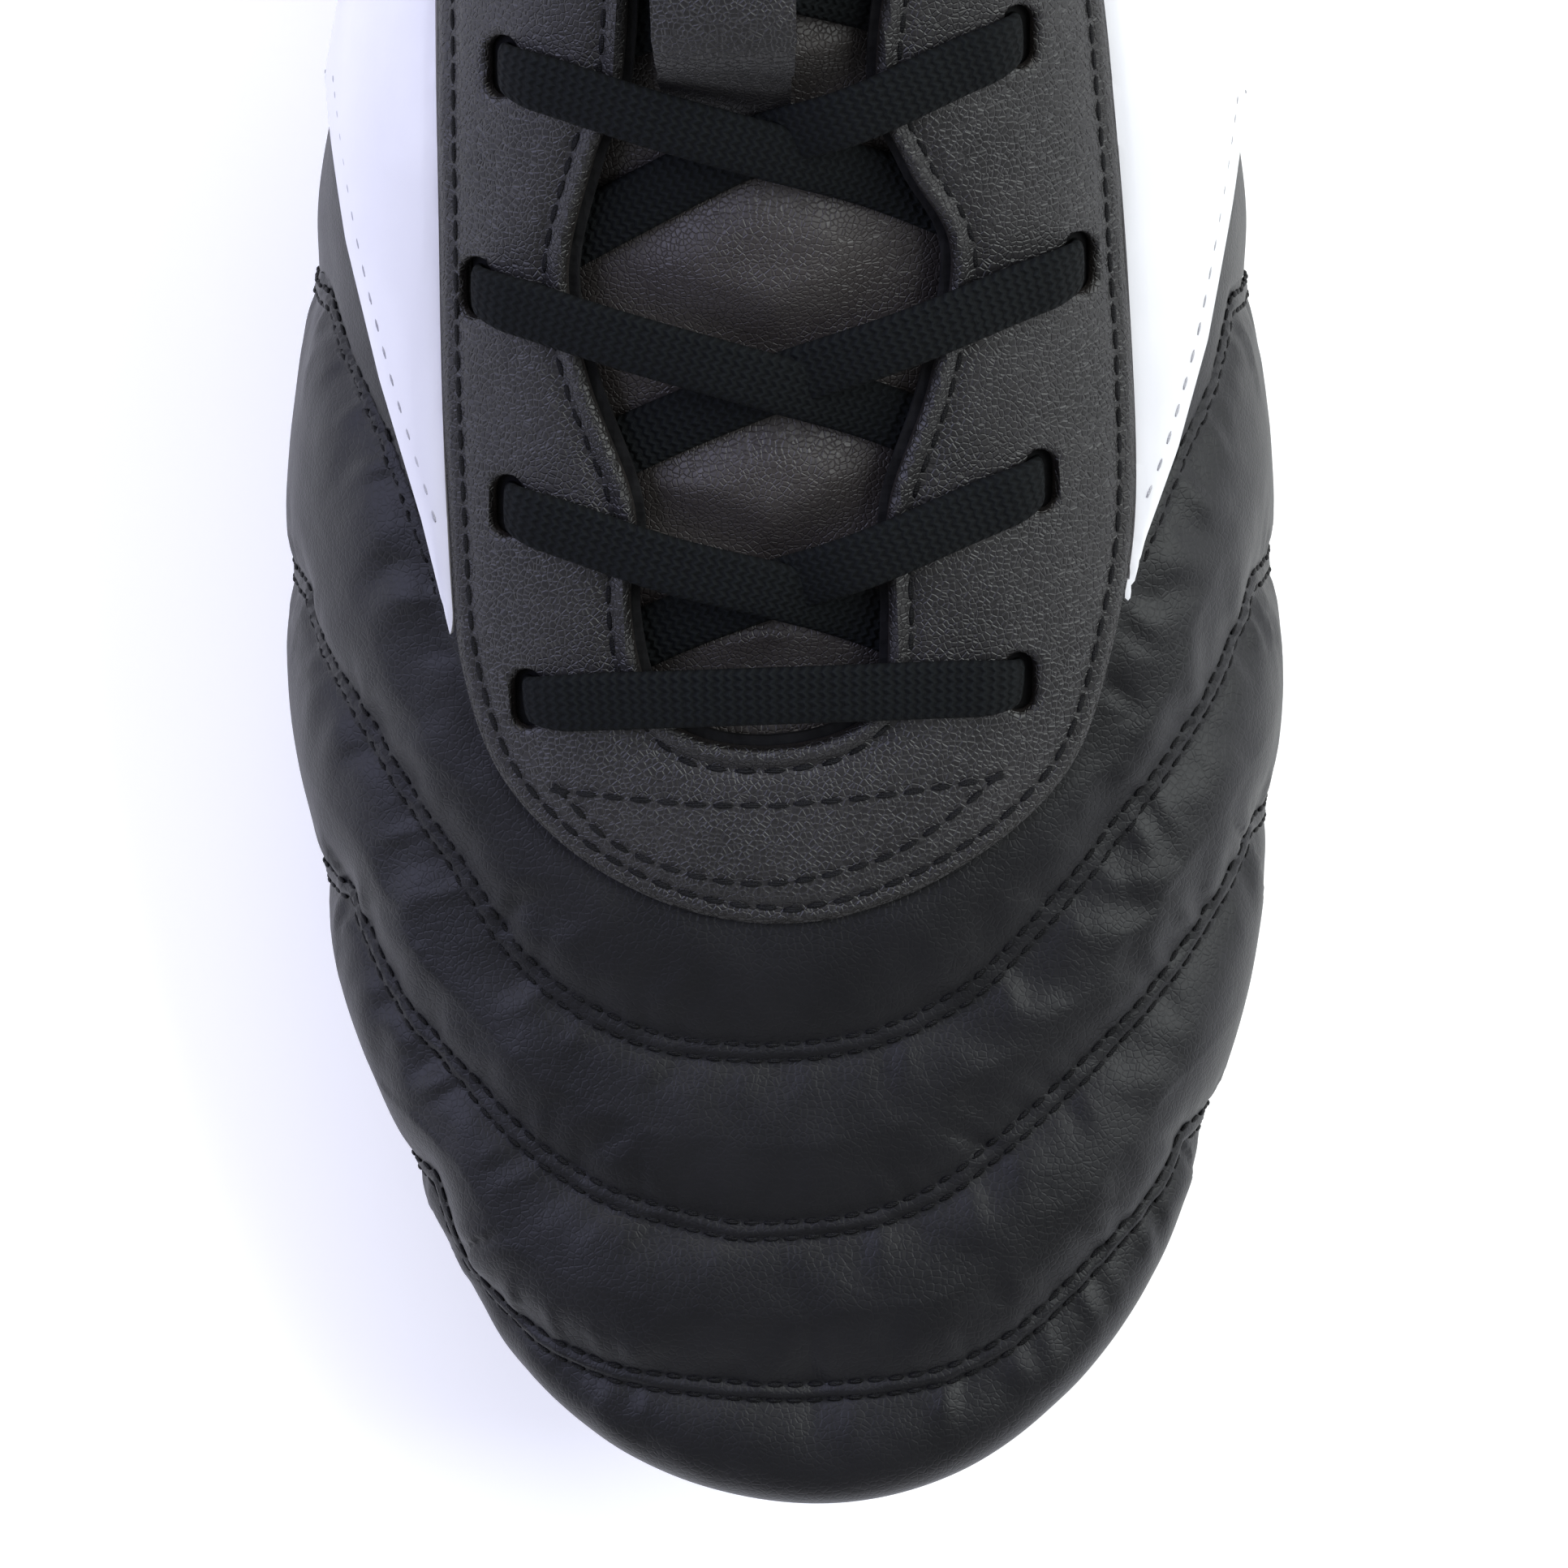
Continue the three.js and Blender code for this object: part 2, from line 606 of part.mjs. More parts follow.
const bulge = (s, v) => {
  const near = smooth((Math.abs(wrap(s)) - THROAT_TOP - 0.4) / 0.8);
  const t = THREE.MathUtils.clamp((v - 0.62) / 0.36, 0, 1);
  return COLLAR_BULGE * near * Math.sin(Math.PI * t);
};

function upperPieces() {
  const open = underEyestay(-SEAM_ALLOWANCE);
  const leather = layer(level(0), level(-LEATHER)).subtract(open);
  const lining = layer(
    (s, v) => LINING_TOP - bulge(s, v),
    (s, v) => LINING_BOTTOM - bulge(s, v),
  ).subtract(open);
  const front = vampArea(0);
  const behind = vampArea(GAP * 1.5);
  const heelFrom = 232 * SCALE_Y;
  const end = 400 * SCALE_Y;
  const rear = leather.subtract(behind);
  const rearLining = lining.subtract(behind);
  return {
    vamp_leather: leather.intersect(front),
    quarter_inner: rear.intersect(half(1, 0, end)),
    quarter_outer: rear.intersect(half(-1, 0, end)),
    vamp_lining: lining.intersect(front),
    quarter_lining_inner: rearLining.intersect(half(1, 0, heelFrom)),
    quarter_lining_outer: rearLining.intersect(half(-1, 0, heelFrom)),
    heel_lining: rearLining.intersect(box(-200, 200, heelFrom + GAP, end, -50, 300)),
  };
}

function stiffeners() {
  const [top, bottom] = [level(FOAM_TOP), level(FOAM_BOTTOM)];
  const toe = { from: 0, to: 2, low: 0.1, high: 0.78 };
  const foam = layer(top, bottom, { from: 3, to: 6.4, low: 0.2 });
  const collar = layer(top, (s, v) => FOAM_BOTTOM - bulge(s, v), { from: 14, low: 0.67 });
  return {
    toe_puff: layer(top, bottom, toe),
    vamp_foam: foam.subtract(underEyestay(-SEAM_ALLOWANCE)),
    heel_counter: layer(top, bottom, { from: 15.3, low: 0.1, high: 0.56 }),
    collar_padding: collar,
  };
}

// Slot for one eyelet, square to the surface.
function slot(x, y) {
  const [w, l, corner] = [SLOT_WIDTH / 2, SLOT_LENGTH / 2, SLOT_WIDTH / 4];
  const quarter = [[w, l - corner], [w - corner, l]];
  const outline = [...quarter, ...quarter.map(([a, b]) => [-a, b]).reverse()];
  const shape = new THREE.Shape([...outline, ...outline.map(([a, b]) => [-a, -b])].map(([a, b]) =>
    new THREE.Vector2(a, b)));
  const g = new THREE.ExtrudeGeometry(shape, { depth: 8, bevelEnabled: false });
  const [s, v] = locate(x, y);
  const up = normal(s, v);
  const side = new THREE.Vector3(0, 1, 0).cross(up).normalize();
  const place = new THREE.Matrix4().makeBasis(side, up.clone().cross(side), up);
  g.translate(0, 0, -4).applyMatrix4(place.setPosition(surface(s, v)));
  return fromGeometry(g);
}

const eyelets = (side) =>
  EYELETS.map((e) => (side > 0 ? [e[2], e[3]] : [e[0], e[1]]).map((n, i) => n * [SCALE_X, SCALE_Y][i]));

const INSTEP = { from: 4, to: 14.6, low: 0.32 };

function eyestayPieces() {
  const throat = prism(softened(THROAT_EDGE, 0, 44));
  const outerFace = GAP + EYESTAY_THICKNESS;
  let eyestay = layer(level(outerFace), level(GAP), INSTEP).intersect(underEyestay(0));
  let facing = layer(level(0), level(-FACING), INSTEP)
    .intersect(underEyestay(-SEAM_ALLOWANCE - GAP));
  for (const hole of [throat, ...[...eyelets(1), ...eyelets(-1)].map(([x, y]) => slot(x, y))]) {
    eyestay = eyestay.subtract(hole);
    facing = facing.subtract(hole);
  }
  return { eyestay, eyestay_facing: facing };
}

// Outer panels stop above the soleplate's top face.
const overSole = (solid) =>
  solid.subtract(plate(-20, (y) => soleTop(y) + GAP, (y) => soleTop(y) - 30));

function sidePanels() {
  const reach = { from: 6.4, to: 14 };
  const sheet = overSole(layer(level(GAP + SADDLE_THICKNESS), level(GAP), reach))
    .subtract(underEyestay(GAP));
  return {
    side_panel_inner: sheet.intersect(prism(SADDLE_INNER)),
    side_panel_outer: sheet.intersect(prism(SADDLE_OUTER)),
  };
}

function heelPieces() {
  const sheet = overSole(layer(level(GAP + HEEL_OVERLAY_THICKNESS), level(GAP), { from: 14 }));
  const floor = soleTop(270 * SCALE_Y);
  const [y, z] = [(v) => v * SCALE_Y, (v) => floor + v * SCALE_Z];
  const cover = sidePrism([[y(222), -20], [y(226), z(14)], [y(236), z(32)], [y(252), z(42)],
    [y(320), z(46)], [y(320), -20]]);
  const strip = 7;
  const heelBand = sheet.intersect(cover);
  return {
    heel_overlay_inner: heelBand.intersect(box(strip + GAP, 200, 0, 400, -50, 300)),
    heel_overlay_outer: heelBand.intersect(box(-200, -strip - GAP, 0, 400, -50, 300)),
    backstay: sheet.intersect(box(-strip, strip, 240 * SCALE_Y, 400 * SCALE_Y, -50, 300)),
  };
}

// A round or flat cord through points; across gives the wide direction at each one.
function sweep(points, sizes, across, sides) {
  const n = points.length;
  const corners = [];
  points.forEach((p, i) => {
    const along = points[Math.min(i + 1, n - 1)].clone().sub(points[Math.max(i - 1, 0)]).normalize();
    const wide = across[i].clone().addScaledVector(along, -across[i].dot(along)).normalize();
    const thick = along.clone().cross(wide);
    const [w, h] = sizes[i];
    for (let k = 0; k < sides; k++) {
      const angle = ((k + 0.5) / sides) * 2 * Math.PI;
      const [c, d] = [Math.cos(angle), Math.sin(angle)];
      const square = w > h * 1.2 ? 1.08 : 1;
      corners.push(p.clone().addScaledVector(wide, (c * w * square) / 2)
        .addScaledVector(thick, (d * h * square) / 2));
    }
  });
  const triangles = [];
  for (let i = 0; i + 1 < n; i++)
    for (let k = 0; k < sides; k++) {
      const [a, b] = [i * sides + k, i * sides + ((k + 1) % sides)];
      triangles.push([a, b, b + sides], [a, b + sides, a + sides]);
    }
  const last = (n - 1) * sides;
  for (let k = 1; k + 1 < sides; k++)
    triangles.push([0, k + 1, k], [last, last + k, last + k + 1]);
  return closedMesh(corners, triangles);
}

function collarBinding() {
  const side = STATIONS.filter((s) => s > 14);
  const stations = [...side, ...side.slice(0, -1).map((s) => 2 * HEEL - s).reverse()];
  const points = stations.map((s) => {
    const edge = lifted(s, 1, LINING_BOTTOM / 2);
    const up = surface(s, 1).sub(surface(s, 0.98)).normalize();
    return edge.addScaledVector(up, BINDING_RADIUS + 2 * GAP);
  });
  const size = points.map(() => [2 * BINDING_RADIUS, 2 * BINDING_RADIUS]);
  return sweep(points, size, stations.map((s) => normal(s, 1)), 8);
}

// ---- tongue ----

const TONGUE_MIDDLE = -3 * SCALE_X;
const TONGUE_FOLD = 205 * SCALE_Y;

function tonguePieces() {
  const [left, right] = [-1, 1].map((side) => TONGUE_MIDDLE + side * TONGUE_HALF_WIDTH);
  const strip = box(left, right, 40 * SCALE_Y, TONGUE_FOLD, -50, 300)
    .intersect(underEyestay(-SEAM_ALLOWANCE - 2 * GAP));
  const make = (top, thickness) =>
    layer(level(top), level(top - thickness), { from: 5.2, to: THROAT_TOP, low: 0.44 }).intersect(strip);
  return {
    tongue_cover: make(TONGUE_TOP, TONGUE_COVER),
    tongue_foam: make(TONGUE_FOAM_TOP, TONGUE_FOAM),
    tongue_lining: make(TONGUE_LINING_TOP, TONGUE_LINING),
  };
}

// The free top of the tongue: a tab that leans on from the fold and widens past the throat.
const TIP_LEAN = new THREE.Vector3(0, Math.cos(0.42), Math.sin(0.42));

function tongueTip(top, thickness) {
  const wide = (reach) => TIP_NECK + (TIP_HALF_WIDTH - TIP_NECK) * smooth(reach / 12);
  return slab(range(-1, 1, 8), [0, 0.15, 0.3, 0.45, 0.75, 1], (t, r, upper) => {
    const reach = r * TONGUE_TIP * (1 - 0.3 * t ** 4);
    const x = TONGUE_MIDDLE + t * wide(reach);
    const p = above(x, TONGUE_FOLD - 3, upper ? top : top - thickness);
    const start = (TONGUE_FOLD + GAP - p.y) / TIP_LEAN.y;
    return p.addScaledVector(TIP_LEAN, start + reach);
  });
}

function laceKeeper() {
  const mid = -5.4 * SCALE_X;
  const rest = TONGUE_TOP + GAP;
  const over = LACE_OVER + LACE_THICKNESS + GAP;
  const knots = [[142.6, rest], [144, rest], [151.5, over], [165.5, over], [171.8, rest],
    [172.8, rest]];
  const lift = (y) => {
    const k = Math.min(knots.findLastIndex(([at]) => at <= y), knots.length - 2);
    const [[a, low], [b, high]] = [knots[k], knots[k + 1]];
    return low + (high - low) * smooth((y - a) / (b - a));
  };
  const ys = [142.6, 144, 145.8, 147.7, 149.6, 151.5, 158.5, 165.5, 167, 168.6, 170.2, 171.8,
    172.8];
  return slab(ys, range(-1, 1, 4), (y, t, upper) => {
    const offset = lift(y) + (upper ? KEEPER_THICKNESS : 0);
    return above(mid + (t * KEEPER_WIDTH) / 2, y * SCALE_Y, offset);
  });
}

// ---- lace ----

const MIDDLE = -1.5 * SCALE_X; // where the strands cross
const KNOT_Y = 199 * SCALE_Y;
const THROAT = new THREE.Shape(softened(THROAT_EDGE, 0, 44).map(([x, y]) =>
  new THREE.Vector2(x, y))).getPoints();

function insideThroat(x, y) {
  let inside = false;
  THROAT.forEach((a, i) => {
    const b = THROAT[(i + 1) % THROAT.length];
    if (a.y > y !== b.y > y && x < a.x + ((y - a.y) * (b.x - a.x)) / (b.y - a.y)) inside = !inside;
  });
  return inside;
}

// The first and last share of a straight run at which the whole width lies in the throat.
function openShares([x0, y0], [x1, y1]) {
  const run = new THREE.Vector2(x1 - x0, y1 - y0);
  const [ux, uy] = run.clone().normalize().multiplyScalar(LACE_WIDTH / 2 + GAP).toArray();
  const clear = range(0, 1, 200).filter((t) =>
    [1, -1].every((k) => insideThroat(x0 + run.x * t - k * uy, y0 + run.y * t + k * ux)));
  return [clear[0], clear.at(-1)];
}

const between = (from, to, share) => [0, 1].map((i) => from[i] + (to[i] - from[i]) * share);

// From one eyelet under the eyestay, up through the throat and over to the eyelet opposite.
function hop(from, to, overAtCross) {
  const side = Math.sign(from[0]);
  const length = Math.hypot(to[0] - from[0], to[1] - from[1]);
  const flat = (share, offset, size = 1) => [...between(from, to, share), offset, size];
  const after = (mm, offset, size) => flat(mm / length, offset, size);
  const share = (x) => (x - from[0]) / (to[0] - from[0]);
  const [leave, arrive] = openShares(from, to);
  const low = LACE_UNDER + 0.15;
  const cross = overAtCross ? low + LACE_THICKNESS + 0.35 : low;
  const risen = share(MIDDLE + side * 5);
  return [
    after(-0.35, 0.2, 0.7),
    after(1.4, LACE_UNDER, 0.8),
    after(5, LACE_UNDER),
    flat(Math.min(leave, risen - 0.03), LACE_UNDER),
    flat(risen, cross),
    flat(share(MIDDLE), cross),
    flat(share(MIDDLE - side * 5.2), cross),
    flat(arrive, LACE_OVER),
    flat(0.9, LACE_OVER),
    after(length - 2.4, LACE_OVER + 0.5, 0.85),
    after(length + 0.3, LACE_OVER - 0.5, 0.72),
  ];
}

function strand(startSide) {
  const sides = [eyelets(1), eyelets(-1)];
  let here = startSide > 0 ? 0 : 1;
  const route = [];
  for (let row = 0; row + 1 < EYELETS.length; row++) {
    const from = sides[here][row];
    here = 1 - here;
    route.push(...hop(from, sides[here][row + 1], here === 1));
  }
  const [x, y] = sides[here].at(-1);
  const side = Math.sign(x);
  const last = [[-0.35, 0.2, 0.7], [1.4, LACE_UNDER, 0.8], [5, LACE_UNDER, 1], [9, LACE_UNDER, 1]];
  for (const [inward, offset, size] of last)
    route.push([x - side * inward, y + inward * 0.25, offset, size]);
  route.push([MIDDLE + side * (KNOT[0] + 4 * GAP), KNOT_Y, 0.4, 0.8]);
  return route;
}

// The whole lace as the eyelets hold it: a bar across the lowest pair, then crossing upwards.
function lace() {
  const [from, to] = [eyelets(1)[0], eyelets(-1)[0]];
  const bar = (share, offset, size = 1) => [...between(from, to, share), offset, size];
  const ends = (a, b) => [bar(a, LACE_OVER - 0.5, 0.72), bar(b, LACE_OVER + 0.5, 0.85)];
  const route = [...strand(1).reverse(), ...ends(-0.006, 0.05),
    ...range(0.14, 0.86, 4).map((share) => bar(share, LACE_OVER)),
    ...ends(1.006, 0.95).reverse(), ...strand(-1)];
  const spots = route.map(([x, y]) => locate(x, y));
  const points = spots.map((spot, i) => lifted(...spot, route[i][2]));
  const across = spots.map((spot, i) => {
    const along = points[Math.min(i + 2, points.length - 1)].clone().sub(points[Math.max(i - 2, 0)]);
    along.z = 0;
    if (along.length() < 3) return new THREE.Vector3(0, 1, 0).projectOnPlane(normal(...spot));
    const wide = normal(...spot).cross(along);
    return wide.y < 0 ? wide.negate() : wide;
  });
  return sweep(points, route.map(([, , , size]) => flatSize(size)), across, 8);
}

const flatSize = (share) => [
  LACE_NECK + ((LACE_WIDTH - LACE_NECK) * (share - 0.7)) / 0.3,
  LACE_THICKNESS * (0.6 + 0.4 * share),
];

// Free lace lying flat on the upper, through points given as station, level and offset.
function freeLace(route) {
  const curve = new THREE.CatmullRomCurve3(route.map(([s, v, offset]) => lifted(s, v, offset)));
  const spots = new THREE.CatmullRomCurve3(route.map(([s, v]) => new THREE.Vector3(s, v, 0)));
  const count = Math.round(curve.getLength() / 4.5);
  const steps = range(0, 1, count);
  const points = steps.map((t) => curve.getPoint(t));
  const across = steps.map((t) => {
    const spot = spots.getPoint(t);
    return normal(spot.x, Math.min(spot.y, 0.99)).cross(curve.getTangent(t));
  });
  return sweep(points, steps.map(() => [LACE_WIDTH, LACE_THICKNESS]), across, 8);
}

// Bow loops and tails, as station, level and offset from the outer leather; side mirrors them.
const LOOP = [
  [12.78, 0.868, 2.6], [12.86, 0.82, 4.6], [12.92, 0.76, 4.8], [12.98, 0.66, 3.6], [13, 0.57, 2.9],
  [12.96, 0.5, 2.9], [12.82, 0.45, 2.9], [12.6, 0.43, 2.9], [12.4, 0.46, 2.9], [12.32, 0.53, 2.9],
  [12.32, 0.61, 3.1], [12.36, 0.7, 4.5], [12.42, 0.78, 5.2], [12.5, 0.835, 4.9], [12.56, 0.87, 3.2],
];
const TAIL = [
  [12.28, 0.9, 2.2], [12.18, 0.86, 4.2], [12.08, 0.8, 4.5], [12, 0.72, 4.3], [11.92, 0.64, 3.2],
  [11.86, 0.56, 2.9], [11.84, 0.48, 2.9], [11.86, 0.41, 2.9], [11.88, 0.35, 3],
  [11.88, 0.3, 3.3],
];
const mirroredRoute = (route, side) => route.map(([s, v, offset]) => [side * s, v, offset]);

function aglet(side) {
  const [end, before] = mirroredRoute(TAIL.slice(-2).reverse(), side).map((p) => lifted(...p));
  const along = end.clone().sub(before).normalize();
  const points = [GAP, GAP + AGLET_LENGTH].map((reach) => end.clone().addScaledVector(along, reach));
  const size = points.map(() => [2 * AGLET_RADIUS, 2 * AGLET_RADIUS]);
  return sweep(points, size, points.map(() => new THREE.Vector3(0, 1, 0)), 10);
}

function knot() {
  const g = new THREE.SphereGeometry(1, 14, 8).scale(...KNOT).rotateX(0.42);
  const centre = above(MIDDLE, KNOT_Y, TONGUE_TOP + GAP + KNOT[2] + 0.3);
  return fromGeometry(g.translate(...centre.toArray()));
}

// ---- assembly ----

const finish = (color, roughness, metalness = 0) =>
  new THREE.MeshStandardMaterial({ color, roughness, metalness });
const BLACK_LEATHER = finish(0x1d1d20, 0.42);
const GRAINED = finish(0x2a2728, 0.5);
const WHITE_SHEET = finish(0xececf4, 0.3);
const TEXTILE = finish(0x141416, 0.9);
const FOAM_FINISH = finish(0x3a3a3c, 0.95);
const PLASTIC = finish(0x17171a, 0.35);
const METAL = finish(0xb9bcc2, 0.3, 1);
const BOARD = finish(0xb8a888, 0.85);

const shoe = new THREE.Group();
const freeCord = new THREE.Group(); // the bow: loops, tails and their aglets

function put(name, solid, material, group = shoe) {
  const m = solid.getMesh();
  const g = new THREE.BufferGeometry();
  g.setAttribute("position", new THREE.BufferAttribute(m.vertProperties, 3));
  g.setIndex(new THREE.BufferAttribute(m.triVerts, 1));
  g.computeVertexNormals();
  const mesh = new THREE.Mesh(g, material);
  mesh.name = name;
  group.add(mesh);
}

put("soleplate", soleplate(), PLASTIC);
for (const [name, x, y, height] of STUDS) {
  const [px, py] = [x * SCALE_X, y * SCALE_Y];
  put(name, stud(px, py, height), METAL);
  put(name.replace("stud", "insert"), insert(px, py, height), METAL);
}
put("shank", shankSlab(0), METAL);
put("insole_board", insoleBoard(), BOARD);
put("sockliner", sockliner(), TEXTILE);
const linings = /lining/;
for (const [name, solid] of Object.entries(upperPieces()))
  put(name, solid, linings.test(name) ? TEXTILE : BLACK_LEATHER);
for (const [name, solid] of Object.entries(stiffeners())) put(name, solid, FOAM_FINISH);
for (const [name, solid] of Object.entries(eyestayPieces())) put(name, solid, GRAINED);
for (const [name, solid] of Object.entries(sidePanels())) put(name, solid, WHITE_SHEET);
for (const [name, solid] of Object.entries(heelPieces())) put(name, solid, BLACK_LEATHER);
put("collar_binding", collarBinding(), BLACK_LEATHER);
for (const [name, solid] of Object.entries(tonguePieces())) put(name, solid, GRAINED);
put("tongue_tip_cover", tongueTip(TONGUE_TOP, TONGUE_COVER), GRAINED);
put("tongue_tip_foam", tongueTip(TONGUE_FOAM_TOP, TONGUE_FOAM), FOAM_FINISH);
put("tongue_tip_lining", tongueTip(TONGUE_LINING_TOP, TONGUE_LINING), TEXTILE);
put("lace_keeper", laceKeeper(), GRAINED);
put("lace", lace(), TEXTILE);
put("lace_knot", knot(), TEXTILE);
for (const [name, side] of [["inner", 1], ["outer", -1]]) {
  put("bow_loop_" + name, freeLace(mirroredRoute(LOOP, side)), TEXTILE, freeCord);
  put("lace_tail_" + name, freeLace(mirroredRoute(TAIL, side)), TEXTILE, freeCord);
  put("aglet_" + name, aglet(side), PLASTIC, freeCord);
}

// The origin is on the ground, under the middle of the shoe without its bow.
const extent = new THREE.Box3().setFromObject(shoe, true);
const middle = extent.getCenter(new THREE.Vector3());
const boot = new THREE.Group();
boot.add(shoe, freeCord);
boot.position.set(-middle.x, -middle.y, -extent.min.z);
export default boot;
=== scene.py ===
# %% [markdown]
# # A right-foot leather soccer boot
# The boot is lasted: leather, foam and lining are pulled over a foot-shaped form, so almost
# every visible piece follows one smooth surface. The script rebuilds that surface once, as a
# formula, and then cuts each panel out of it, presses seams into it and sews stitches on it.

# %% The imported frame
import math
import bmesh
import bpy
import numpy as np
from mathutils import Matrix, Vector
from mathutils.kdtree import KDTree


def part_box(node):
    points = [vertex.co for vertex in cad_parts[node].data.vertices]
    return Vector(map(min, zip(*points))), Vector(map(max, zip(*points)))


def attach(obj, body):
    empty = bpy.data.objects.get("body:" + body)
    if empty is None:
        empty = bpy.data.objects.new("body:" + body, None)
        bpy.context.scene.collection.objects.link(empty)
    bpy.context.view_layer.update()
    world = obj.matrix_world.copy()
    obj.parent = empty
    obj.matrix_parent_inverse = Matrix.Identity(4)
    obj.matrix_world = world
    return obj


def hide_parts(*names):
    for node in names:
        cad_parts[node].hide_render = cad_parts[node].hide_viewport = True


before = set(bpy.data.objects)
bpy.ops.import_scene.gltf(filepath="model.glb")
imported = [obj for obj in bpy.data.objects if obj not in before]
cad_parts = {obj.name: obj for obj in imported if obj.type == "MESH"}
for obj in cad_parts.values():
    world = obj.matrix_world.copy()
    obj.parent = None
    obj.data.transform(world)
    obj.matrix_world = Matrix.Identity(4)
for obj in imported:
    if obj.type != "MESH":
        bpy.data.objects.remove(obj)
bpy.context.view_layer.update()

# %% [markdown]
# ## Where the pieces go
# Shoe patterns are drawn in millimetres from the toe, with x towards the inner side. One stud
# of the frame has a known place in that drawing, so it gives the shift to the frame's metres.

# %% From the pattern's millimetres to the frame's metres
MM = 0.001
STUD_AT = (27, 50)
stud_low, stud_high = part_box("stud_front_inner")
ORIGIN = np.array([(stud_low.x + stud_high.x) / 2 - STUD_AT[0] * MM,
                   (stud_low.y + stud_high.y) / 2 - STUD_AT[1] * MM, 0])


def placed(points):
    return np.asarray(points) * MM + ORIGIN


print("pattern origin", ORIGIN.round(5))

# %% [markdown]
# ## The last
# A shoe last is described by a few lines: the outline seen from above, the crown over the
# instep and the collar round the ankle. Catmull-Rom curves run through the tables, and a
# Bezier profile rises from the outline to the crown or collar at each station. Lofting by
# formula beats a sculpted mesh here, because panels, seams and laces can all ask it for a point.

# %% Sizes of the bottom
GAP = 0.3
SOLE_THICKNESS = 4.2
FRONT_STUD, REAR_STUD = 12, 15
BOSS_HEIGHT, BOSS_RADIUS = 1.7, 10
TOE_SPRING, ARCH_RISE = 9, 4
SOLE_OVERHANG = 1.5
THROAT_TOP, HEEL = 13, 18
LOWER = 0.2

# %% Tables of the last
# Toe to heel: inner x, outer x, y, height of the widest line, inset of the lower edge.
OUTLINE = np.array([
    (3, 3, 0, 8, 4), (17.5, -12, 3.1, 8.5, 4), (29.5, -25, 12, 9.5, 4.5), (38, -33.5, 24, 10.5, 5),
    (43.3, -39.6, 38, 12, 5), (47.2, -44.9, 52, 12, 5), (49.6, -48, 67, 12, 5),
    (50.8, -50.4, 83, 12, 5), (50.2, -50.8, 100, 12, 5), (48.6, -49.2, 118, 12, 5),
    (47, -47.4, 136, 14, 6), (43.8, -43.6, 155, 16, 7), (39.5, -40.5, 175, 18, 7),
    (36, -38, 197, 20, 6), (34.5, -36, 221, 22, 5), (33.5, -34.5, 245, 23, 5),
    (27.5, -28.5, 267, 23, 5), (15, -15.5, 281, 23, 5), (0, 0, 285, 23, 5)], float)
SPINE = np.array([
    (2.8, 17, 27), (2.7, 19.5, 28), (2.4, 25, 29.8), (2, 33, 32), (1.5, 43, 35), (1, 55, 39),
    (0.3, 68, 44), (-0.3, 83, 50), (-1, 100, 57), (-1.5, 118, 64.5), (-1.8, 137, 73),
    (-2, 156, 81.5), (-2, 178, 91.3), (-2, 206, 103)], float)
# Round the ankle: distance from the middle, y, height, slope in degrees.
COLLAR = np.array([
    (0, 206, 103, 0), (27.5, 216, 86, 60), (31, 237, 74, 80), (27, 258, 76, 82),
    (14.5, 271, 81, 82), (0, 275, 83, 82)], float)


# %% Heights of the sole
def smooth(t):
    t = np.clip(t, 0, 1)
    return t * t * (3 - 2 * t)


def sole_bottom(y):
    rise = (REAR_STUD - FRONT_STUD) * smooth((y - 110) / 90)
    arch = ARCH_RISE * np.exp(-(((y - 160) / 28) ** 2))
    spring = TOE_SPRING * np.maximum(0, 1 - y / 75) ** 2
    return FRONT_STUD + GAP + BOSS_HEIGHT + rise + arch + spring


def lower_edge(y):
    return sole_bottom(y) + SOLE_THICKNESS + 3 * GAP


SPINE[:, 2] += lower_edge(100)
COLLAR[:, 2] += lower_edge(100)


# %% Curves through the tables
def through(table, first, at):
    i = np.floor(at).astype(int)
    t = (at - i)[:, None]
    a, b, c, d = (table[np.clip(i + k - first, 0, len(table) - 1)] for k in (-1, 0, 1, 2))
    return b + t / 2 * ((c - a) + t * ((2 * a - 5 * b + 4 * c - d) + t * (3 * b - a - 3 * c + d)))


def wrapped(station):
    return (np.asarray(station, float) + HEEL) % (2 * HEEL) - HEEL


FIRST_OUTLINE = -HEEL - 2
outline_rows = []
for index in range(FIRST_OUTLINE, HEEL + 3):
    turn = index - 2 * HEEL if index > HEEL else index + 2 * HEEL if index < -HEEL else index
    inner_x, outer_x, *rest = OUTLINE[abs(turn)]
    outline_rows.append((outer_x if turn < 0 else inner_x, *rest))
outline_rows = np.array(outline_rows)
spine_rows = np.vstack([SPINE[2], SPINE[1], SPINE, 2 * SPINE[-1] - SPINE[-2], 3 * SPINE[-1] - 2 * SPINE[-2]])
FIRST_COLLAR = THROAT_TOP - 2
collar_rows = {}
for side in (-1, 1):
    rows = []
    for index in range(FIRST_COLLAR, HEEL + 3):
        near = 2 * THROAT_TOP - index if index < THROAT_TOP else index
        way = -side if near > HEEL else side
        near = 2 * HEEL - near if near > HEEL else near
        x, y, z, slope = COLLAR[near - THROAT_TOP]
        x = (SPINE[-1, 0] if near == THROAT_TOP else 0) + way * x
        if index < THROAT_TOP:
            x, y, slope = 2 * SPINE[-1, 0] - x, 2 * SPINE[-1, 1] - y, -slope
        rows.append((x, y, z, slope))
    collar_rows[side] = np.array(rows)


# %% The lasted surface
def bezier(a, b, c, d, t):
    u = 1 - t
    return a * u**3 + 3 * b * u * u * t + 3 * c * u * t * t + d * t**3


def outline_step(s):
    """Way of the sole's outline in plan, over a tenth of a station."""
    ahead = through(outline_rows, FIRST_OUTLINE, s + 0.05)
    return (ahead - through(outline_rows, FIRST_OUTLINE, s - 0.05))[:, :2]


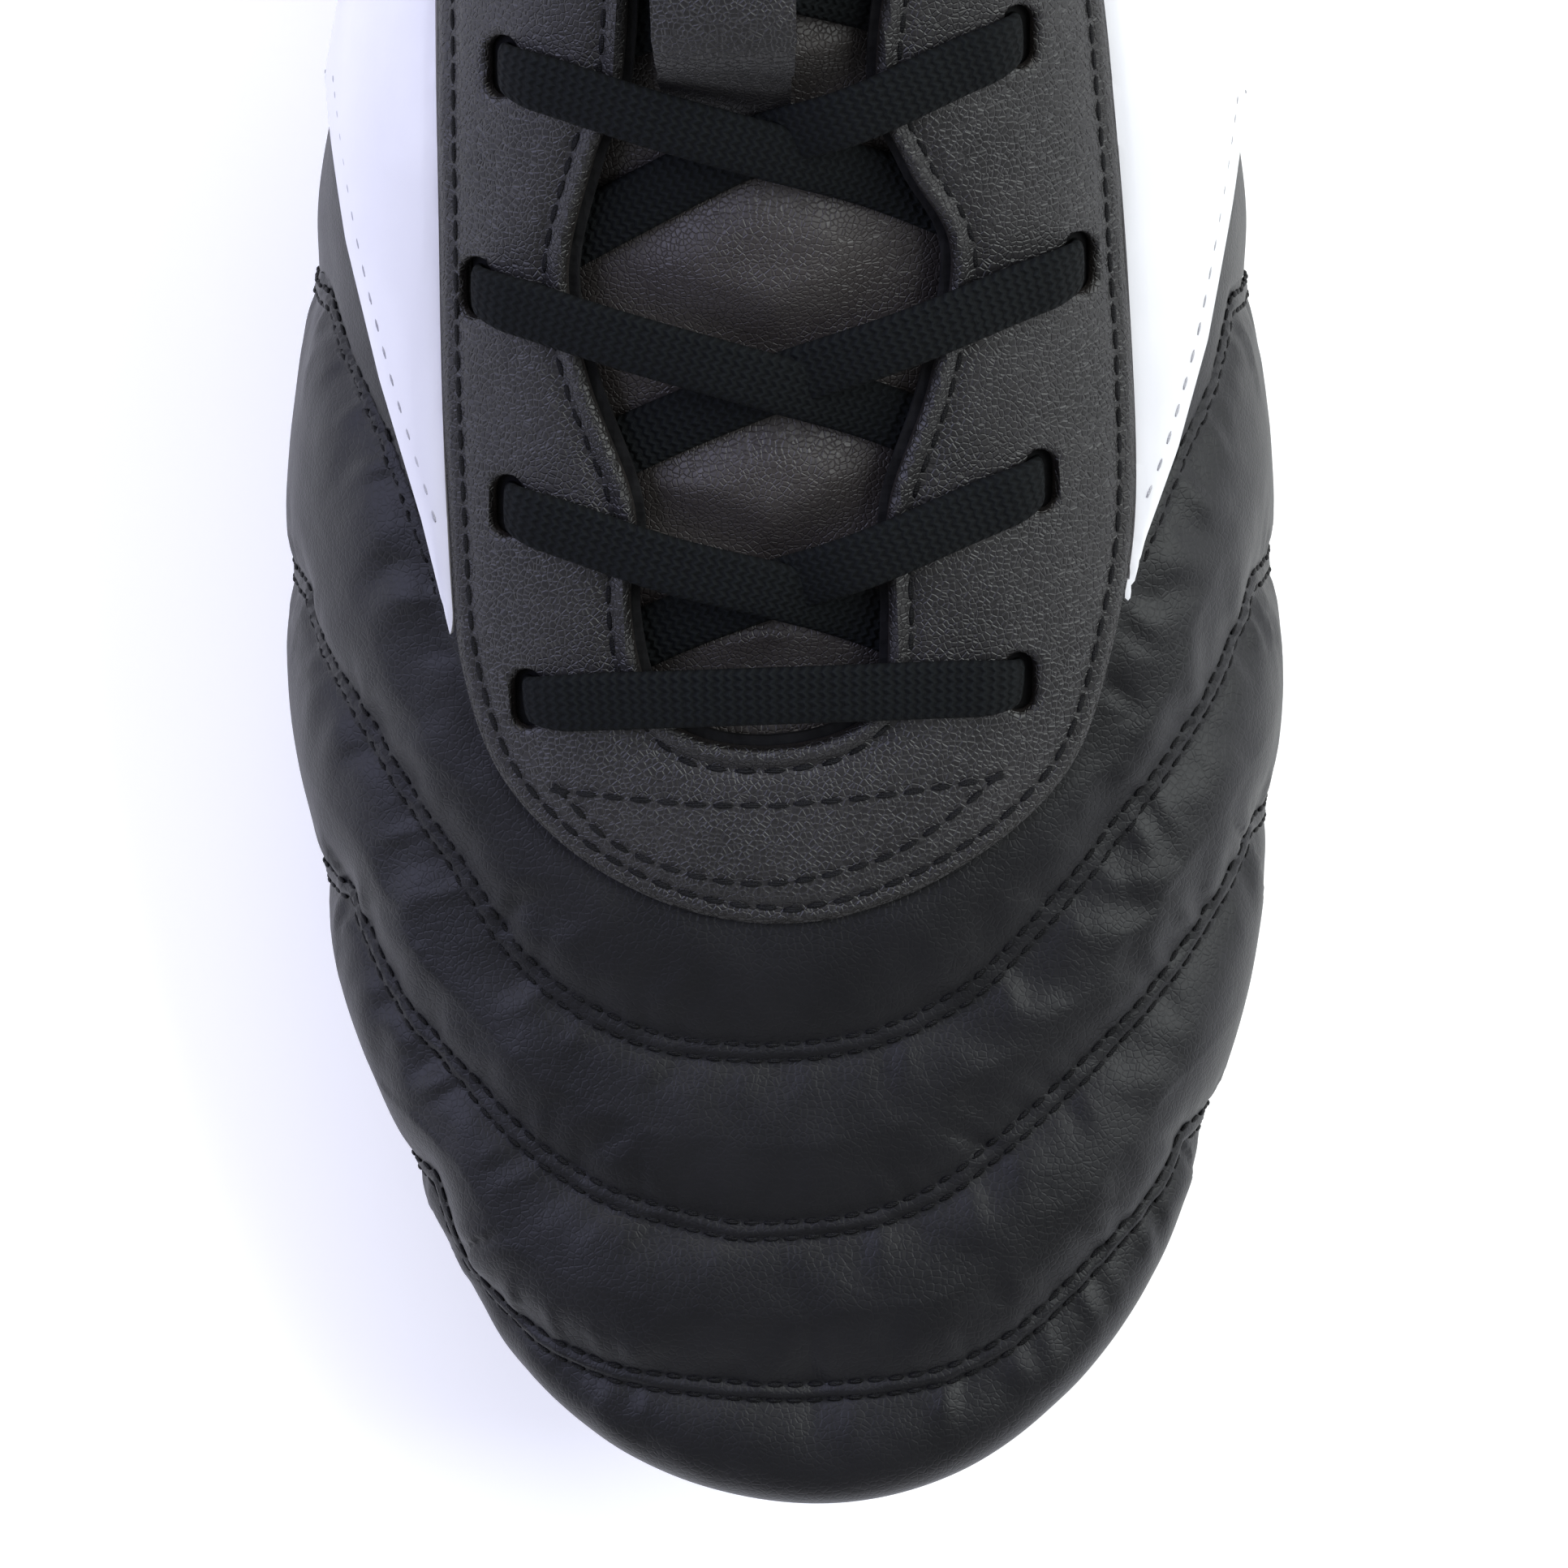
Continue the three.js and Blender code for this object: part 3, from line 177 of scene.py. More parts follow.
def surface(station, level):
    """Points of the outer leather face: station -18..18 round the outline, level 0..1 upwards."""
    s = wrapped(station).ravel()
    v = np.broadcast_to(np.asarray(level, float), np.shape(station)).ravel()[:, None]
    x, y, rise, inset = through(outline_rows, FIRST_OUTLINE, s).T[:, :, None]
    step = outline_step(s)
    out = np.column_stack([step[:, 1], -step[:, 0], 0 * s])
    out /= np.linalg.norm(out, axis=1)[:, None]
    up = np.array([0, 0, 1])
    wide = np.hstack([x, y, lower_edge(y) + rise])
    foot = wide - out * inset - up * rise
    low = bezier(foot, foot + out * inset * 0.5 + up * rise * 0.12, wide - up * rise * 0.55, wide,
                 np.clip(v / LOWER, 0, 1))
    spine = through(spine_rows, -2, np.minimum(abs(s), THROAT_TOP))
    ahead = through(spine_rows, -2, np.minimum(abs(s), THROAT_TOP) + 0.02)
    climb = ((ahead - spine)[:, 2] / (ahead - spine)[:, 1])[:, None]
    collar = np.where(s[:, None] > 0, through(collar_rows[1], FIRST_COLLAR, np.maximum(abs(s), THROAT_TOP)),
                      through(collar_rows[-1], FIRST_COLLAR, np.maximum(abs(s), THROAT_TOP)))
    beyond = (abs(s) > THROAT_TOP)[:, None]
    point = np.where(beyond, collar[:, :3], spine)
    slope = np.where(beyond, np.radians(collar[:, 3:]), 0)
    climb = np.where(beyond, 0, climb)
    reach = np.hypot(point[:, :1] - x, point[:, 1:2] - y)
    height = point[:, 2:] - wide[:, 2:]
    above = wide + up * height * (0.55 + 0.1 * np.cos(slope))
    back = np.hstack([out[:, :2], out[:, 1:2] * climb]) * np.cos(slope) - up * np.sin(slope)
    pull = 0.58 * reach * np.cos(slope) + 0.35 * height * np.sin(slope)
    high = bezier(wide, above, point + back * pull, point, np.clip((v - LOWER) / (1 - LOWER), 0, 1))
    return np.where(v < LOWER, low, high).reshape(*np.shape(station), 3)


def normal(station, level):
    s = np.asarray(station, float)
    v = np.clip(level, 0.004, np.where(abs(wrapped(s)) > THROAT_TOP, 0.95, 0.995))
    along = surface(s + 0.02, v) - surface(s - 0.02, v)
    n = np.cross(along, surface(s, v + 0.002) - surface(s, v - 0.002))
    return n / np.linalg.norm(n, axis=-1, keepdims=True)


print("toe, crown and heel", surface(np.array([0.0, 8, 18]), np.array([0.2, 1, 1])).round(1).tolist())


# %% Finding the point of the surface above a place in plan
guess_s, guess_v = np.meshgrid(np.arange(-13, 13.01, 0.25), np.arange(0.22, 1, 0.03), indexing="ij")
guess_s, guess_v = guess_s.ravel(), guess_v.ravel()
guess_points = surface(guess_s, guess_v)
guess_tree = KDTree(len(guess_s))
for k, (px, py, _) in enumerate(guess_points):
    guess_tree.insert((px, py, 0), k)
guess_tree.balance()


def locate(xy):
    xy = np.asarray(xy, float)
    near = [guess_tree.find((x, y, 0))[1] for x, y in xy]
    s, v = guess_s[near], guess_v[near]
    for _ in range(12):
        p = surface(s, v)[:, :2]
        ds = (surface(s + 0.01, v)[:, :2] - p) / 0.01
        dv = (surface(s, v + 0.002)[:, :2] - p) / 0.002
        det = ds[:, 0] * dv[:, 1] - ds[:, 1] * dv[:, 0]
        det = np.where(abs(det) < 1e-6, 1e-6, det)
        e = xy - p
        s = s + np.clip((e[:, 0] * dv[:, 1] - e[:, 1] * dv[:, 0]) / det, -0.6, 0.6)
        v = np.clip(v + np.clip((ds[:, 0] * e[:, 1] - ds[:, 1] * e[:, 0]) / det, -0.2, 0.2), 0.21, 0.997)
    return s, v


def above(xy, offset=0.0):
    """Points over plan places, lifted off the leather, and the directions square to it there."""
    s, v = locate(xy)
    n = normal(s, v)
    return surface(s, v) + n * np.broadcast_to(offset, len(s))[:, None], n


# %% Soft lines and distances in plan
def soft_line(points, count=0, closed=False):
    """The points joined by one smooth line, as a shoe pattern's curve."""
    p = np.asarray(points, float)
    if closed:
        rows = np.vstack([p[-1:], p, p[:2]])
    else:
        rows = np.vstack([2 * p[:1] - p[1:2], p, 2 * p[-1:] - p[-2:-1]])
    spans = len(p) if closed else len(p) - 1
    return through(rows, -1, np.linspace(0, spans, count or spans * 10 + 1)[: -1 if closed else None])


def even_line(points, step):
    lengths = np.r_[0, np.cumsum(np.linalg.norm(np.diff(points, axis=0), axis=1))]
    at = np.linspace(0, lengths[-1], max(2, int(round(lengths[-1] / step)) + 1))
    return np.column_stack([np.interp(at, lengths, points[:, k]) for k in range(points.shape[1])])


def distance_to(line, xy, closed=False):
    a = line if closed else line[:-1]
    b = np.roll(line, -1, 0) if closed else line[1:]
    best = np.full(len(xy), 1e9)
    for p, q in zip(a, b):
        d = q - p
        t = np.clip(((xy - p) @ d) / max(d @ d, 1e-12), 0, 1)
        best = np.minimum(best, np.linalg.norm(xy - p - t[:, None] * d, axis=1))
    return best


def inside(line, xy):
    """Signed distance to a closed line: positive inside."""
    hit = np.zeros(len(xy), bool)
    for p, q in zip(line, np.roll(line, -1, 0)):
        if p[1] != q[1]:
            crosses = (p[1] > xy[:, 1]) != (q[1] > xy[:, 1])
            hit ^= crosses & (xy[:, 0] < p[0] + (xy[:, 1] - p[1]) * (q[0] - p[0]) / (q[1] - p[1]))
    return np.where(hit, 1, -1) * distance_to(line, xy, True)


# %% [markdown]
# ## Panels
# A panel is cut from the surface's grid along the line where a field is zero, then given a
# front and a back face and a wall round its edge. Cutting a grid by a field keeps clean edges
# without booleans, which would leave slivers on such thin leather.

# %% Grids over the last
def front_patch(from_station, to_station, low, rows, columns):
    """Both sides of the boot in one grid, over the crown, between two stations."""
    w = np.linspace(low - 1, 1 - low, 2 * columns + 1)
    a, w = np.meshgrid(np.linspace(from_station, to_station, rows), w, indexing="ij")
    return np.where(w < 0, -a, a), 1 - abs(w), False


def rear_patch(from_station, to_station, low, high, columns, rows):
    s, v = np.meshgrid(np.linspace(from_station, to_station, columns),
                       np.linspace(low, high, rows), indexing="ij")
    return s, v, True


def welded(patches):
    s, v, faces, count = [], [], [], 0
    for ps, pv, turned in patches:
        n, m = ps.shape
        at = count + np.arange(n * m).reshape(n, m)
        a, b, c, d = at[:-1, :-1].ravel(), at[:-1, 1:].ravel(), at[1:, 1:].ravel(), at[1:, :-1].ravel()
        faces.append(np.column_stack([a, d, c, b] if turned else [a, b, c, d]))
        s.append(ps.ravel())
        v.append(pv.ravel())
        count += n * m
    s, v, faces = np.concatenate(s), np.concatenate(v), np.vstack(faces)
    base = surface(s, v)
    cells = (base / 0.01).round().astype(int)
    _, first, back = np.unique(cells, axis=0, return_index=True, return_inverse=True)
    return base[first], s[first], v[first], back.ravel()[faces]


def face_normals(points, faces):
    a, b, c, d = (points[faces[:, k]] for k in range(4))
    return np.cross(c - a, d - b)


def vertex_normals(points, faces):
    total = np.zeros_like(points)
    flat = face_normals(points, faces)
    for k in range(4):
        np.add.at(total, faces[:, k], flat)
    return total / np.maximum(np.linalg.norm(total, axis=1), 1e-12)[:, None]


def clipped(values, faces, field):
    """Cuts a grid where the field is zero; values are the columns carried along."""
    keep = field > 0
    full = keep[faces].all(1)
    mixed = keep[faces].any(1) & ~full
    result = [tuple(dict.fromkeys(f)) for f in faces[full].tolist()]
    added, cuts = [], {}
    for face in faces[mixed].tolist():
        corners = []
        for a, b in zip(face, face[1:] + face[:1]):
            if keep[a] and a not in corners:
                corners.append(a)
            if a != b and keep[a] != keep[b]:
                key = (min(a, b), max(a, b))
                if key not in cuts:
                    t = field[key[0]] / (field[key[0]] - field[key[1]])
                    t = min(max(t, 0.03), 0.97)
                    cuts[key] = len(values) + len(added)
                    added.append(values[key[0]] * (1 - t) + values[key[1]] * t)
                corners.append(cuts[key])
        result.append(tuple(dict.fromkeys(corners)))
    values = np.vstack([values, *added]) if added else values
    result = [f for f in result if len(f) > 2]
    used = sorted({i for f in result for i in f})
    renumber = dict(zip(used, range(len(used))))
    return values[used], [tuple(renumber[i] for i in f) for f in result]


# %% Meshes
def new_piece(name, points, faces, material, sharp=55, uv=None):
    """A mesh object at the origin; points are in pattern millimetres."""
    mesh = bpy.data.meshes.new(name)
    mesh.from_pydata(placed(points).tolist(), [], faces)
    mesh.validate()
    mesh.polygons.foreach_set("use_smooth", [True] * len(mesh.polygons))
    mesh.set_sharp_from_angle(angle=math.radians(sharp))
    for slot_material in material if isinstance(material, list) else [material]:
        mesh.materials.append(slot_material)
    if uv is not None:
        layer = mesh.uv_layers.new(name="UVMap")
        corner = np.empty(len(mesh.loops), int)
        mesh.loops.foreach_get("vertex_index", corner)
        layer.data.foreach_set("uv", np.asarray(uv)[corner].astype(np.float32).ravel())
    piece = bpy.data.objects.new(name, mesh)
    bpy.context.scene.collection.objects.link(piece)
    return piece


def finish_piece(piece, body, slot, *nodes):
    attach(piece, body)
    if nodes:
        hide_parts(*nodes)
    print(piece.name, len(piece.data.polygons), "faces on", body)
    return piece


def shell(top, bottom, faces):
    """Closed shell from a front face, a back face and a wall round every edge."""
    count = len(top)
    edges = {}
    for f in faces:
        for a, b in zip(f, f[1:] + f[:1]):
            edges[(a, b)] = True
    walls = [(a, a + count, b + count, b) for a, b in edges if (b, a) not in edges]
    back = [tuple(i + count for i in reversed(f)) for f in faces]
    return np.vstack([top, bottom]), list(faces) + back + walls, len(faces)


def panel(name, patches, field, lift, thickness, material, edge=None, roll=0.35):
    """A leather panel. field(base, s, v) is positive inside it, lift(base, s, v, f) is its height."""
    base, s, v, faces = welded(patches)
    n = vertex_normals(base, faces)
    f = field(base, s, v)
    near = (f > -3)[faces].any(1)
    values = np.column_stack([base, s, v, n, f])
    values, cut = clipped(values, faces[near], f)
    base, s, v, n, f = values[:, :3], values[:, 3], values[:, 4], values[:, 5:8], values[:, 8]
    n /= np.linalg.norm(n, axis=1)[:, None]
    height = lift(base, s, v, f)
    worn = roll * thickness * np.exp(-(np.maximum(f, 0) / 0.45) ** 2)
    top = base + n * (height - worn)[:, None]
    bottom = base + n * (height - thickness)[:, None]
    points, all_faces, fronts = shell(top, bottom, cut)
    piece = new_piece(name, points, all_faces, [material, edge or material])
    from_edge = piece.data.attributes.new("from_edge", "FLOAT", "POINT")
    from_edge.data.foreach_set("value", np.r_[f, 0 * f].astype(np.float32))
    if edge:
        index = np.zeros(len(piece.data.polygons), int)
        index[2 * fronts:] = 1
        piece.data.polygons.foreach_set("material_index", index)
    return piece

# %% [markdown]
# ## Finishes
# Leather, braid and nylon differ in gloss, colour and grain. Each finish is a small node tree
# on Object coordinates, so its grain has a real size in metres and stays put as pieces move.

# %% Node helpers
def add(tree, kind, inputs=None, **settings):
    node = tree.nodes.new(kind)
    for key, value in settings.items():
        setattr(node, key, value)
    for key, value in (inputs or {}).items():
        socket = node.inputs[key]
        if isinstance(value, bpy.types.NodeSocket):
            tree.links.new(value, socket)
        else:
            socket.default_value = value
    return node


def surface_finish(name, roughness, specular=0.5, sheen=0.0, coat=0.0, metallic=0.0):
    finish = bpy.data.materials.new(name)
    finish.use_nodes = True
    tree = finish.node_tree
    shader = tree.nodes["Principled BSDF"]
    shader.inputs["Roughness"].default_value = roughness
    shader.inputs["Specular IOR Level"].default_value = specular
    shader.inputs["Sheen Weight"].default_value = sheen
    shader.inputs["Sheen Roughness"].default_value = 0.4
    shader.inputs["Coat Weight"].default_value = coat
    shader.inputs["Coat Roughness"].default_value = 0.12
    shader.inputs["Metallic"].default_value = metallic
    place = add(tree, "ShaderNodeTexCoord").outputs["Object"]
    return finish, tree, shader, place


def mottled(tree, shader, place, dark, light, scale, detail=3.0):
    noise = add(tree, "ShaderNodeTexNoise", {"Vector": place, "Scale": scale, "Detail": detail})
    ramp = add(tree, "ShaderNodeValToRGB", {"Fac": noise.outputs["Fac"]})
    ramp.color_ramp.elements[0].color = (*dark, 1)
    ramp.color_ramp.elements[1].color = (*light, 1)
    ramp.color_ramp.elements[0].position = 0.35
    ramp.color_ramp.elements[1].position = 0.7
    tree.links.new(ramp.outputs["Color"], shader.inputs["Base Color"])
    return noise


def bumped(tree, shader, heights):
    """Stacks bumps: each is a height socket, its depth in metres and a strength."""
    before = None
    for height, depth, strength in heights:
        bump = add(tree, "ShaderNodeBump", {"Height": height, "Distance": depth, "Strength": strength})
        if before:
            tree.links.new(before.outputs["Normal"], bump.inputs["Normal"])
        before = bump
    tree.links.new(before.outputs["Normal"], shader.inputs["Normal"])


def rough_between(tree, shader, height, low, high):
    spread = add(tree, "ShaderNodeMapRange", {"Value": height, "To Min": low, "To Max": high})
    tree.links.new(spread.outputs["Result"], shader.inputs["Roughness"])


# %% Leathers
def leather(name, dark, light, roughness, cell, cell_depth, crease_depth, specular=0.5, raw=None):
    finish, tree, shader, place = surface_finish(name, roughness, specular)
    tone = mottled(tree, shader, place, dark, light, 90)
    cells = add(tree, "ShaderNodeTexVoronoi", {"Vector": place, "Scale": 1 / cell, "Randomness": 1.0},
                feature="DISTANCE_TO_EDGE")
    valley = add(tree, "ShaderNodeMapRange", {"Value": cells.outputs["Distance"], "From Max": 0.16})
    fold = add(tree, "ShaderNodeTexNoise", {"Vector": place, "Scale": 420, "Detail": 4.0, "Distortion": 0.7})
    swell = add(tree, "ShaderNodeTexNoise", {"Vector": place, "Scale": 120, "Detail": 2.0})
    bumped(tree, shader, [(swell.outputs["Fac"], 0.0006, 0.5), (fold.outputs["Fac"], crease_depth, 0.8),
                          (valley.outputs["Result"], cell_depth, 0.9)])
    rough_between(tree, shader, tone.outputs["Fac"], roughness - 0.07, roughness + 0.07)
    if raw:
        # A cut sheet shows its brown fibre in a narrow band along its edge.
        band = add(tree, "ShaderNodeAttribute", attribute_name="from_edge").outputs["Fac"]
        inner = add(tree, "ShaderNodeMapRange", {"Value": band, "From Min": 0.6, "From Max": 0.85})
        grain_colour = shader.inputs["Base Color"].links[0].from_socket
        mix = add(tree, "ShaderNodeMix", {0: inner.outputs["Result"], 6: (*raw, 1), 7: grain_colour},
                  data_type="RGBA")
        tree.links.new(mix.outputs[2], shader.inputs["Base Color"])
    return finish


BLACK_GRAIN = ((0.0065, 0.006, 0.0066), (0.0115, 0.0105, 0.0112))  # darkest and lightest of the hide
PEBBLES = (0.0006, 0.00007, 0.00009, 0.5)
QUILTED = leather("quilted_calf", (0.0042, 0.0043, 0.0054), (0.0075, 0.0075, 0.009), 0.46,
                  0.0007, 0.000025, 0.00005, 0.27)
GRAINED = leather("pebbled_leather", *BLACK_GRAIN, 0.44, *PEBBLES)
EYESTAY_LEATHER = leather("eyestay_leather", *BLACK_GRAIN, 0.44, *PEBBLES, raw=(0.0035, 0.0026, 0.0022))
# Partly the leather's own tone and partly painted light: the tongue's black pebbled leather is about three
# times lighter than the eyestay's. This stands in for front light that the lamps do not bring into the throat.
TONGUE_LEATHER_PAINTED_LIGHT = leather("tongue_leather", (0.021, 0.0175, 0.017), (0.033, 0.0285, 0.0275), 0.45, *PEBBLES)
CUT_EDGE = leather("cut_edge", (0.0045, 0.0034, 0.003), (0.012, 0.0088, 0.0074), 0.75,
                   0.0004, 0.00006, 0.0001, 0.25)


# %% Coated white sheet
def white_sheet():
    finish, tree, shader, place = surface_finish("white_sheet", 0.3, 0.5, coat=0.25)
    mottled(tree, shader, place, (0.60, 0.60, 0.635), (0.65, 0.65, 0.68), 60)
    grain = add(tree, "ShaderNodeTexNoise", {"Vector": place, "Scale": 1400, "Detail": 2.0})
    wave = add(tree, "ShaderNodeTexNoise", {"Vector": place, "Scale": 90, "Detail": 1.0})
    bumped(tree, shader, [(wave.outputs["Fac"], 0.0003, 0.3), (grain.outputs["Fac"], 0.00002, 0.5)])
    return finish


WHITE_SHEET = white_sheet()


# %% Braid, thread and lining
def braid(name, columns, pitch, dark, light, depth):
    """Chevrons along the piece's own UV: u from edge to edge, v the length in millimetres. Colour follows the
    weave height: painted shade in the grooves, painted highlight on the ribs.
    """
    finish, tree, shader, _ = surface_finish(name, 0.85, 0.12)
    uv = add(tree, "ShaderNodeUVMap", uv_map="UVMap").outputs["UV"]
    split = add(tree, "ShaderNodeSeparateXYZ", {"Vector": uv})
    wander = add(tree, "ShaderNodeTexNoise", {"Vector": uv, "Scale": 1.3, "Detail": 2.0})
    run = add(tree, "ShaderNodeMath", {0: split.outputs["X"], 1: columns}, operation="MULTIPLY").outputs[0]
    fraction = add(tree, "ShaderNodeMath", {0: run}, operation="FRACT").outputs[0]
    away = add(tree, "ShaderNodeMath", {0: fraction, 1: 0.5}, operation="SUBTRACT").outputs[0]
    tilt = add(tree, "ShaderNodeMath", {0: away}, operation="ABSOLUTE").outputs[0]
    along = add(tree, "ShaderNodeMath", {0: split.outputs["Y"], 1: 1 / pitch},
                operation="MULTIPLY").outputs[0]
    shifted = add(tree, "ShaderNodeMath", {0: tilt, 1: 0.9, 2: along}, operation="MULTIPLY_ADD").outputs[0]
    loose = add(tree, "ShaderNodeMath", {0: wander.outputs["Fac"], 1: 0.5, 2: shifted},
                operation="MULTIPLY_ADD").outputs[0]
    turn = add(tree, "ShaderNodeMath", {0: loose, 1: 2 * math.pi}, operation="MULTIPLY").outputs[0]
    wave = add(tree, "ShaderNodeMath", {0: turn}, operation="SINE").outputs[0]
    rib = add(tree, "ShaderNodeMath", {0: tilt, 1: -1.6, 2: wave}, operation="MULTIPLY_ADD").outputs[0]
    height = add(tree, "ShaderNodeMapRange",
                 {"Value": rib, "From Min": -1.8, "From Max": 1.0}).outputs["Result"]
    # Painted shade and highlight: the ramp turns the weave height into colour, dark in the grooves and light
    # on the ribs.
    ramp = add(tree, "ShaderNodeValToRGB", {"Fac": height})
    ramp.color_ramp.elements[0].color = (*dark, 1)
    ramp.color_ramp.elements[1].color = (*light, 1)
    tree.links.new(ramp.outputs["Color"], shader.inputs["Base Color"])
    fuzz = add(tree, "ShaderNodeTexNoise", {"Vector": uv, "Scale": 9.0, "Detail": 4.0})
    bumped(tree, shader, [(height, depth, 1.0), (fuzz.outputs["Fac"], depth * 0.4, 0.6)])
    return finish


# The braid's dark colour is painted shade in its grooves, and its light colour is painted highlight on its
# ribs.
LACE_BRAID = braid("lace_braid", 6, 1.05, (0.0016, 0.002, 0.0024), (0.0058, 0.0072, 0.0082), 0.00026)


def plain_cloth(name, dark, light, scale, roughness=0.9):
    finish, tree, shader, place = surface_finish(name, roughness, 0.15)
    mottled(tree, shader, place, dark, light, 400)
    knit = add(tree, "ShaderNodeTexVoronoi", {"Vector": place, "Scale": scale, "Randomness": 0.35})
    bumped(tree, shader, [(knit.outputs["Distance"], 0.0002, 0.7)])
    return finish


LINING = plain_cloth("lining_knit", (0.004, 0.004, 0.0045), (0.009, 0.009, 0.0098), 1100)
THREAD = plain_cloth("thread", (0.002, 0.002, 0.0025), (0.006, 0.006, 0.007), 6000, 0.55)
SLIT_THREAD = plain_cloth("panel_thread", (0.30, 0.30, 0.33), (0.45, 0.45, 0.48), 6000, 0.7)
print("finishes", len(bpy.data.materials))

# %% [markdown]
# ## Stitches
# A seam is one thread laid down hundreds of times at the same pitch. Geometry Nodes does this
# best: the row is resampled at the pitch and one small bead of thread is set at each point,
# turned along the row and square to the leather.

# %% The stitch tree
def stitch_tree():
    tree = bpy.data.node_groups.new("Stitch row", "GeometryNodeTree")
    tree.interface.new_socket("Row", in_out="INPUT", socket_type="NodeSocketGeometry")
    for label, value in (("Pitch", 0.002), ("Stitch length", 0.0017), ("Thread width", 0.0004),
                         ("Thread height", 0.0003)):
        socket = tree.interface.new_socket(label, in_out="INPUT", socket_type="NodeSocketFloat")
        socket.default_value = value
    tree.interface.new_socket("Thread", in_out="INPUT", socket_type="NodeSocketMaterial")
    tree.interface.new_socket("Stitches", in_out="OUTPUT", socket_type="NodeSocketGeometry")
    given = tree.nodes.new("NodeGroupInput").outputs
    curve = add(tree, "GeometryNodeMeshToCurve", {"Mesh": given["Row"]})
    spots = add(tree, "GeometryNodeResampleCurve", {"Curve": curve.outputs[0], "Length": given["Pitch"]},
                mode="LENGTH")
    bead = add(tree, "GeometryNodeMeshUVSphere", {"Segments": 7, "Rings": 5, "Radius": 0.5})
    size = add(tree, "ShaderNodeCombineXYZ", {"X": given["Stitch length"], "Y": given["Thread width"],
                                             "Z": given["Thread height"]})
    shaped = add(tree, "GeometryNodeTransform", {"Geometry": bead.outputs["Mesh"], "Scale": size.outputs[0]})
    tangent = add(tree, "GeometryNodeInputTangent")
    up = add(tree, "GeometryNodeInputNamedAttribute", {"Name": "up"}, data_type="FLOAT_VECTOR")
    along = add(tree, "FunctionNodeAlignRotationToVector", {"Vector": tangent.outputs[0]}, axis="X")
    square = add(tree, "FunctionNodeAlignRotationToVector",
                 {"Rotation": along.outputs[0], "Vector": up.outputs["Attribute"]}, axis="Z", pivot_axis="X")
    laid = add(tree, "GeometryNodeInstanceOnPoints",
               {"Points": spots.outputs[0], "Instance": shaped.outputs[0], "Rotation": square.outputs[0]})
    real = add(tree, "GeometryNodeRealizeInstances", {"Geometry": laid.outputs[0]})
    soft = add(tree, "GeometryNodeSetShadeSmooth", {"Geometry": real.outputs[0]})
    dressed = add(tree, "GeometryNodeSetMaterial", {"Geometry": soft.outputs[0], "Material": given["Thread"]})
    result = tree.nodes.new("NodeGroupOutput")
    tree.links.new(dressed.outputs[0], result.inputs[0])
    return tree


STITCH_TREE = stitch_tree()


def stitched(name, rows, pitch, length, width, height, thread, body="root", slot="quilted_leather"):
    """rows: list of (points, directions square to the leather), in pattern millimetres."""
    points, edges, ups = [], [], []
    for line, square in rows:
        start = len(points)
        points += placed(line).tolist()
        ups += square.tolist()
        edges += [(start + i, start + i + 1) for i in range(len(line) - 1)]
    mesh = bpy.data.meshes.new(name + "_row")
    mesh.from_pydata(points, edges, [])
    up = mesh.attributes.new("up", "FLOAT_VECTOR", "POINT")
    up.data.foreach_set("vector", np.array(ups, np.float32).ravel())
    carrier = bpy.data.objects.new(name + "_row", mesh)
    bpy.context.scene.collection.objects.link(carrier)
    maker = carrier.modifiers.new("Stitches", "NODES")
    maker.node_group = STITCH_TREE
    sizes = {"Pitch": pitch * MM, "Stitch length": length * MM, "Thread width": width * MM,
             "Thread height": height * MM, "Thread": thread}
    for item in STITCH_TREE.interface.items_tree:
        if item.in_out == "INPUT" and item.name in sizes:
            maker[item.identifier] = sizes[item.name]
    made = bpy.data.meshes.new_from_object(carrier.evaluated_get(bpy.context.evaluated_depsgraph_get()))
    bpy.data.objects.remove(carrier)
    piece = bpy.data.objects.new(name, made)
    bpy.context.scene.collection.objects.link(piece)
    return finish_piece(piece, body, slot)


# %% [markdown]
# ## Camera, light and floor
# The boot is seen from straight above its forefoot through a long lens. Two large soft boxes
# at the sides leave the space overhead dim, so black leather keeps its depth while edges shine.

# %% Camera
VIEW_AT = (0, 73.2)
VIEW_WIDTH = 159.7
CAMERA_HEIGHT = 1500
SENSOR = 36
FOCUS_HEIGHT = 45
camera_data = bpy.data.cameras.new("camera")
camera_data.sensor_width = SENSOR
camera_data.lens = SENSOR * (CAMERA_HEIGHT - FOCUS_HEIGHT) / VIEW_WIDTH
camera_data.clip_end = 20
camera = bpy.data.objects.new("camera", camera_data)
camera.location = placed((*VIEW_AT, CAMERA_HEIGHT))
bpy.context.scene.collection.objects.link(camera)
bpy.context.scene.camera = camera


# %% Lights
def soft_box(name, place, aim, size, power, colour):
    data = bpy.data.lights.new(name, "AREA")
    data.shape = "RECTANGLE"
    data.size, data.size_y = size
    data.energy = power
    data.color = colour
    lamp = bpy.data.objects.new(name, data)
    lamp.location = place
    lamp.rotation_euler = (Vector(aim) - Vector(place)).to_track_quat("-Z", "Y").to_euler()
    bpy.context.scene.collection.objects.link(lamp)


soft_box("left_box", (-1.25, 0.15, 1.0), (0, -0.05, 0.05), (1.2, 1.6), 23, (0.66, 0.68, 1.0))
soft_box("right_box", (1.25, 0.2, 1.05), (0, -0.05, 0.05), (1.1, 1.6), 29, (0.95, 1.0, 0.99))
soft_box("back_box", (0.1, 1.3, 1.3), (0, 0.0, 0.05), (1.6, 0.8), 15, (1.0, 0.98, 0.96))
world = bpy.data.worlds.new("studio")
bpy.context.scene.world = world
world.use_nodes = True
world.node_tree.nodes["Background"].inputs["Color"].default_value = (1.0, 1.0, 1.0, 1)
world.node_tree.nodes["Background"].inputs["Strength"].default_value = 0.31
bpy.context.scene.view_settings.view_transform = "Standard"

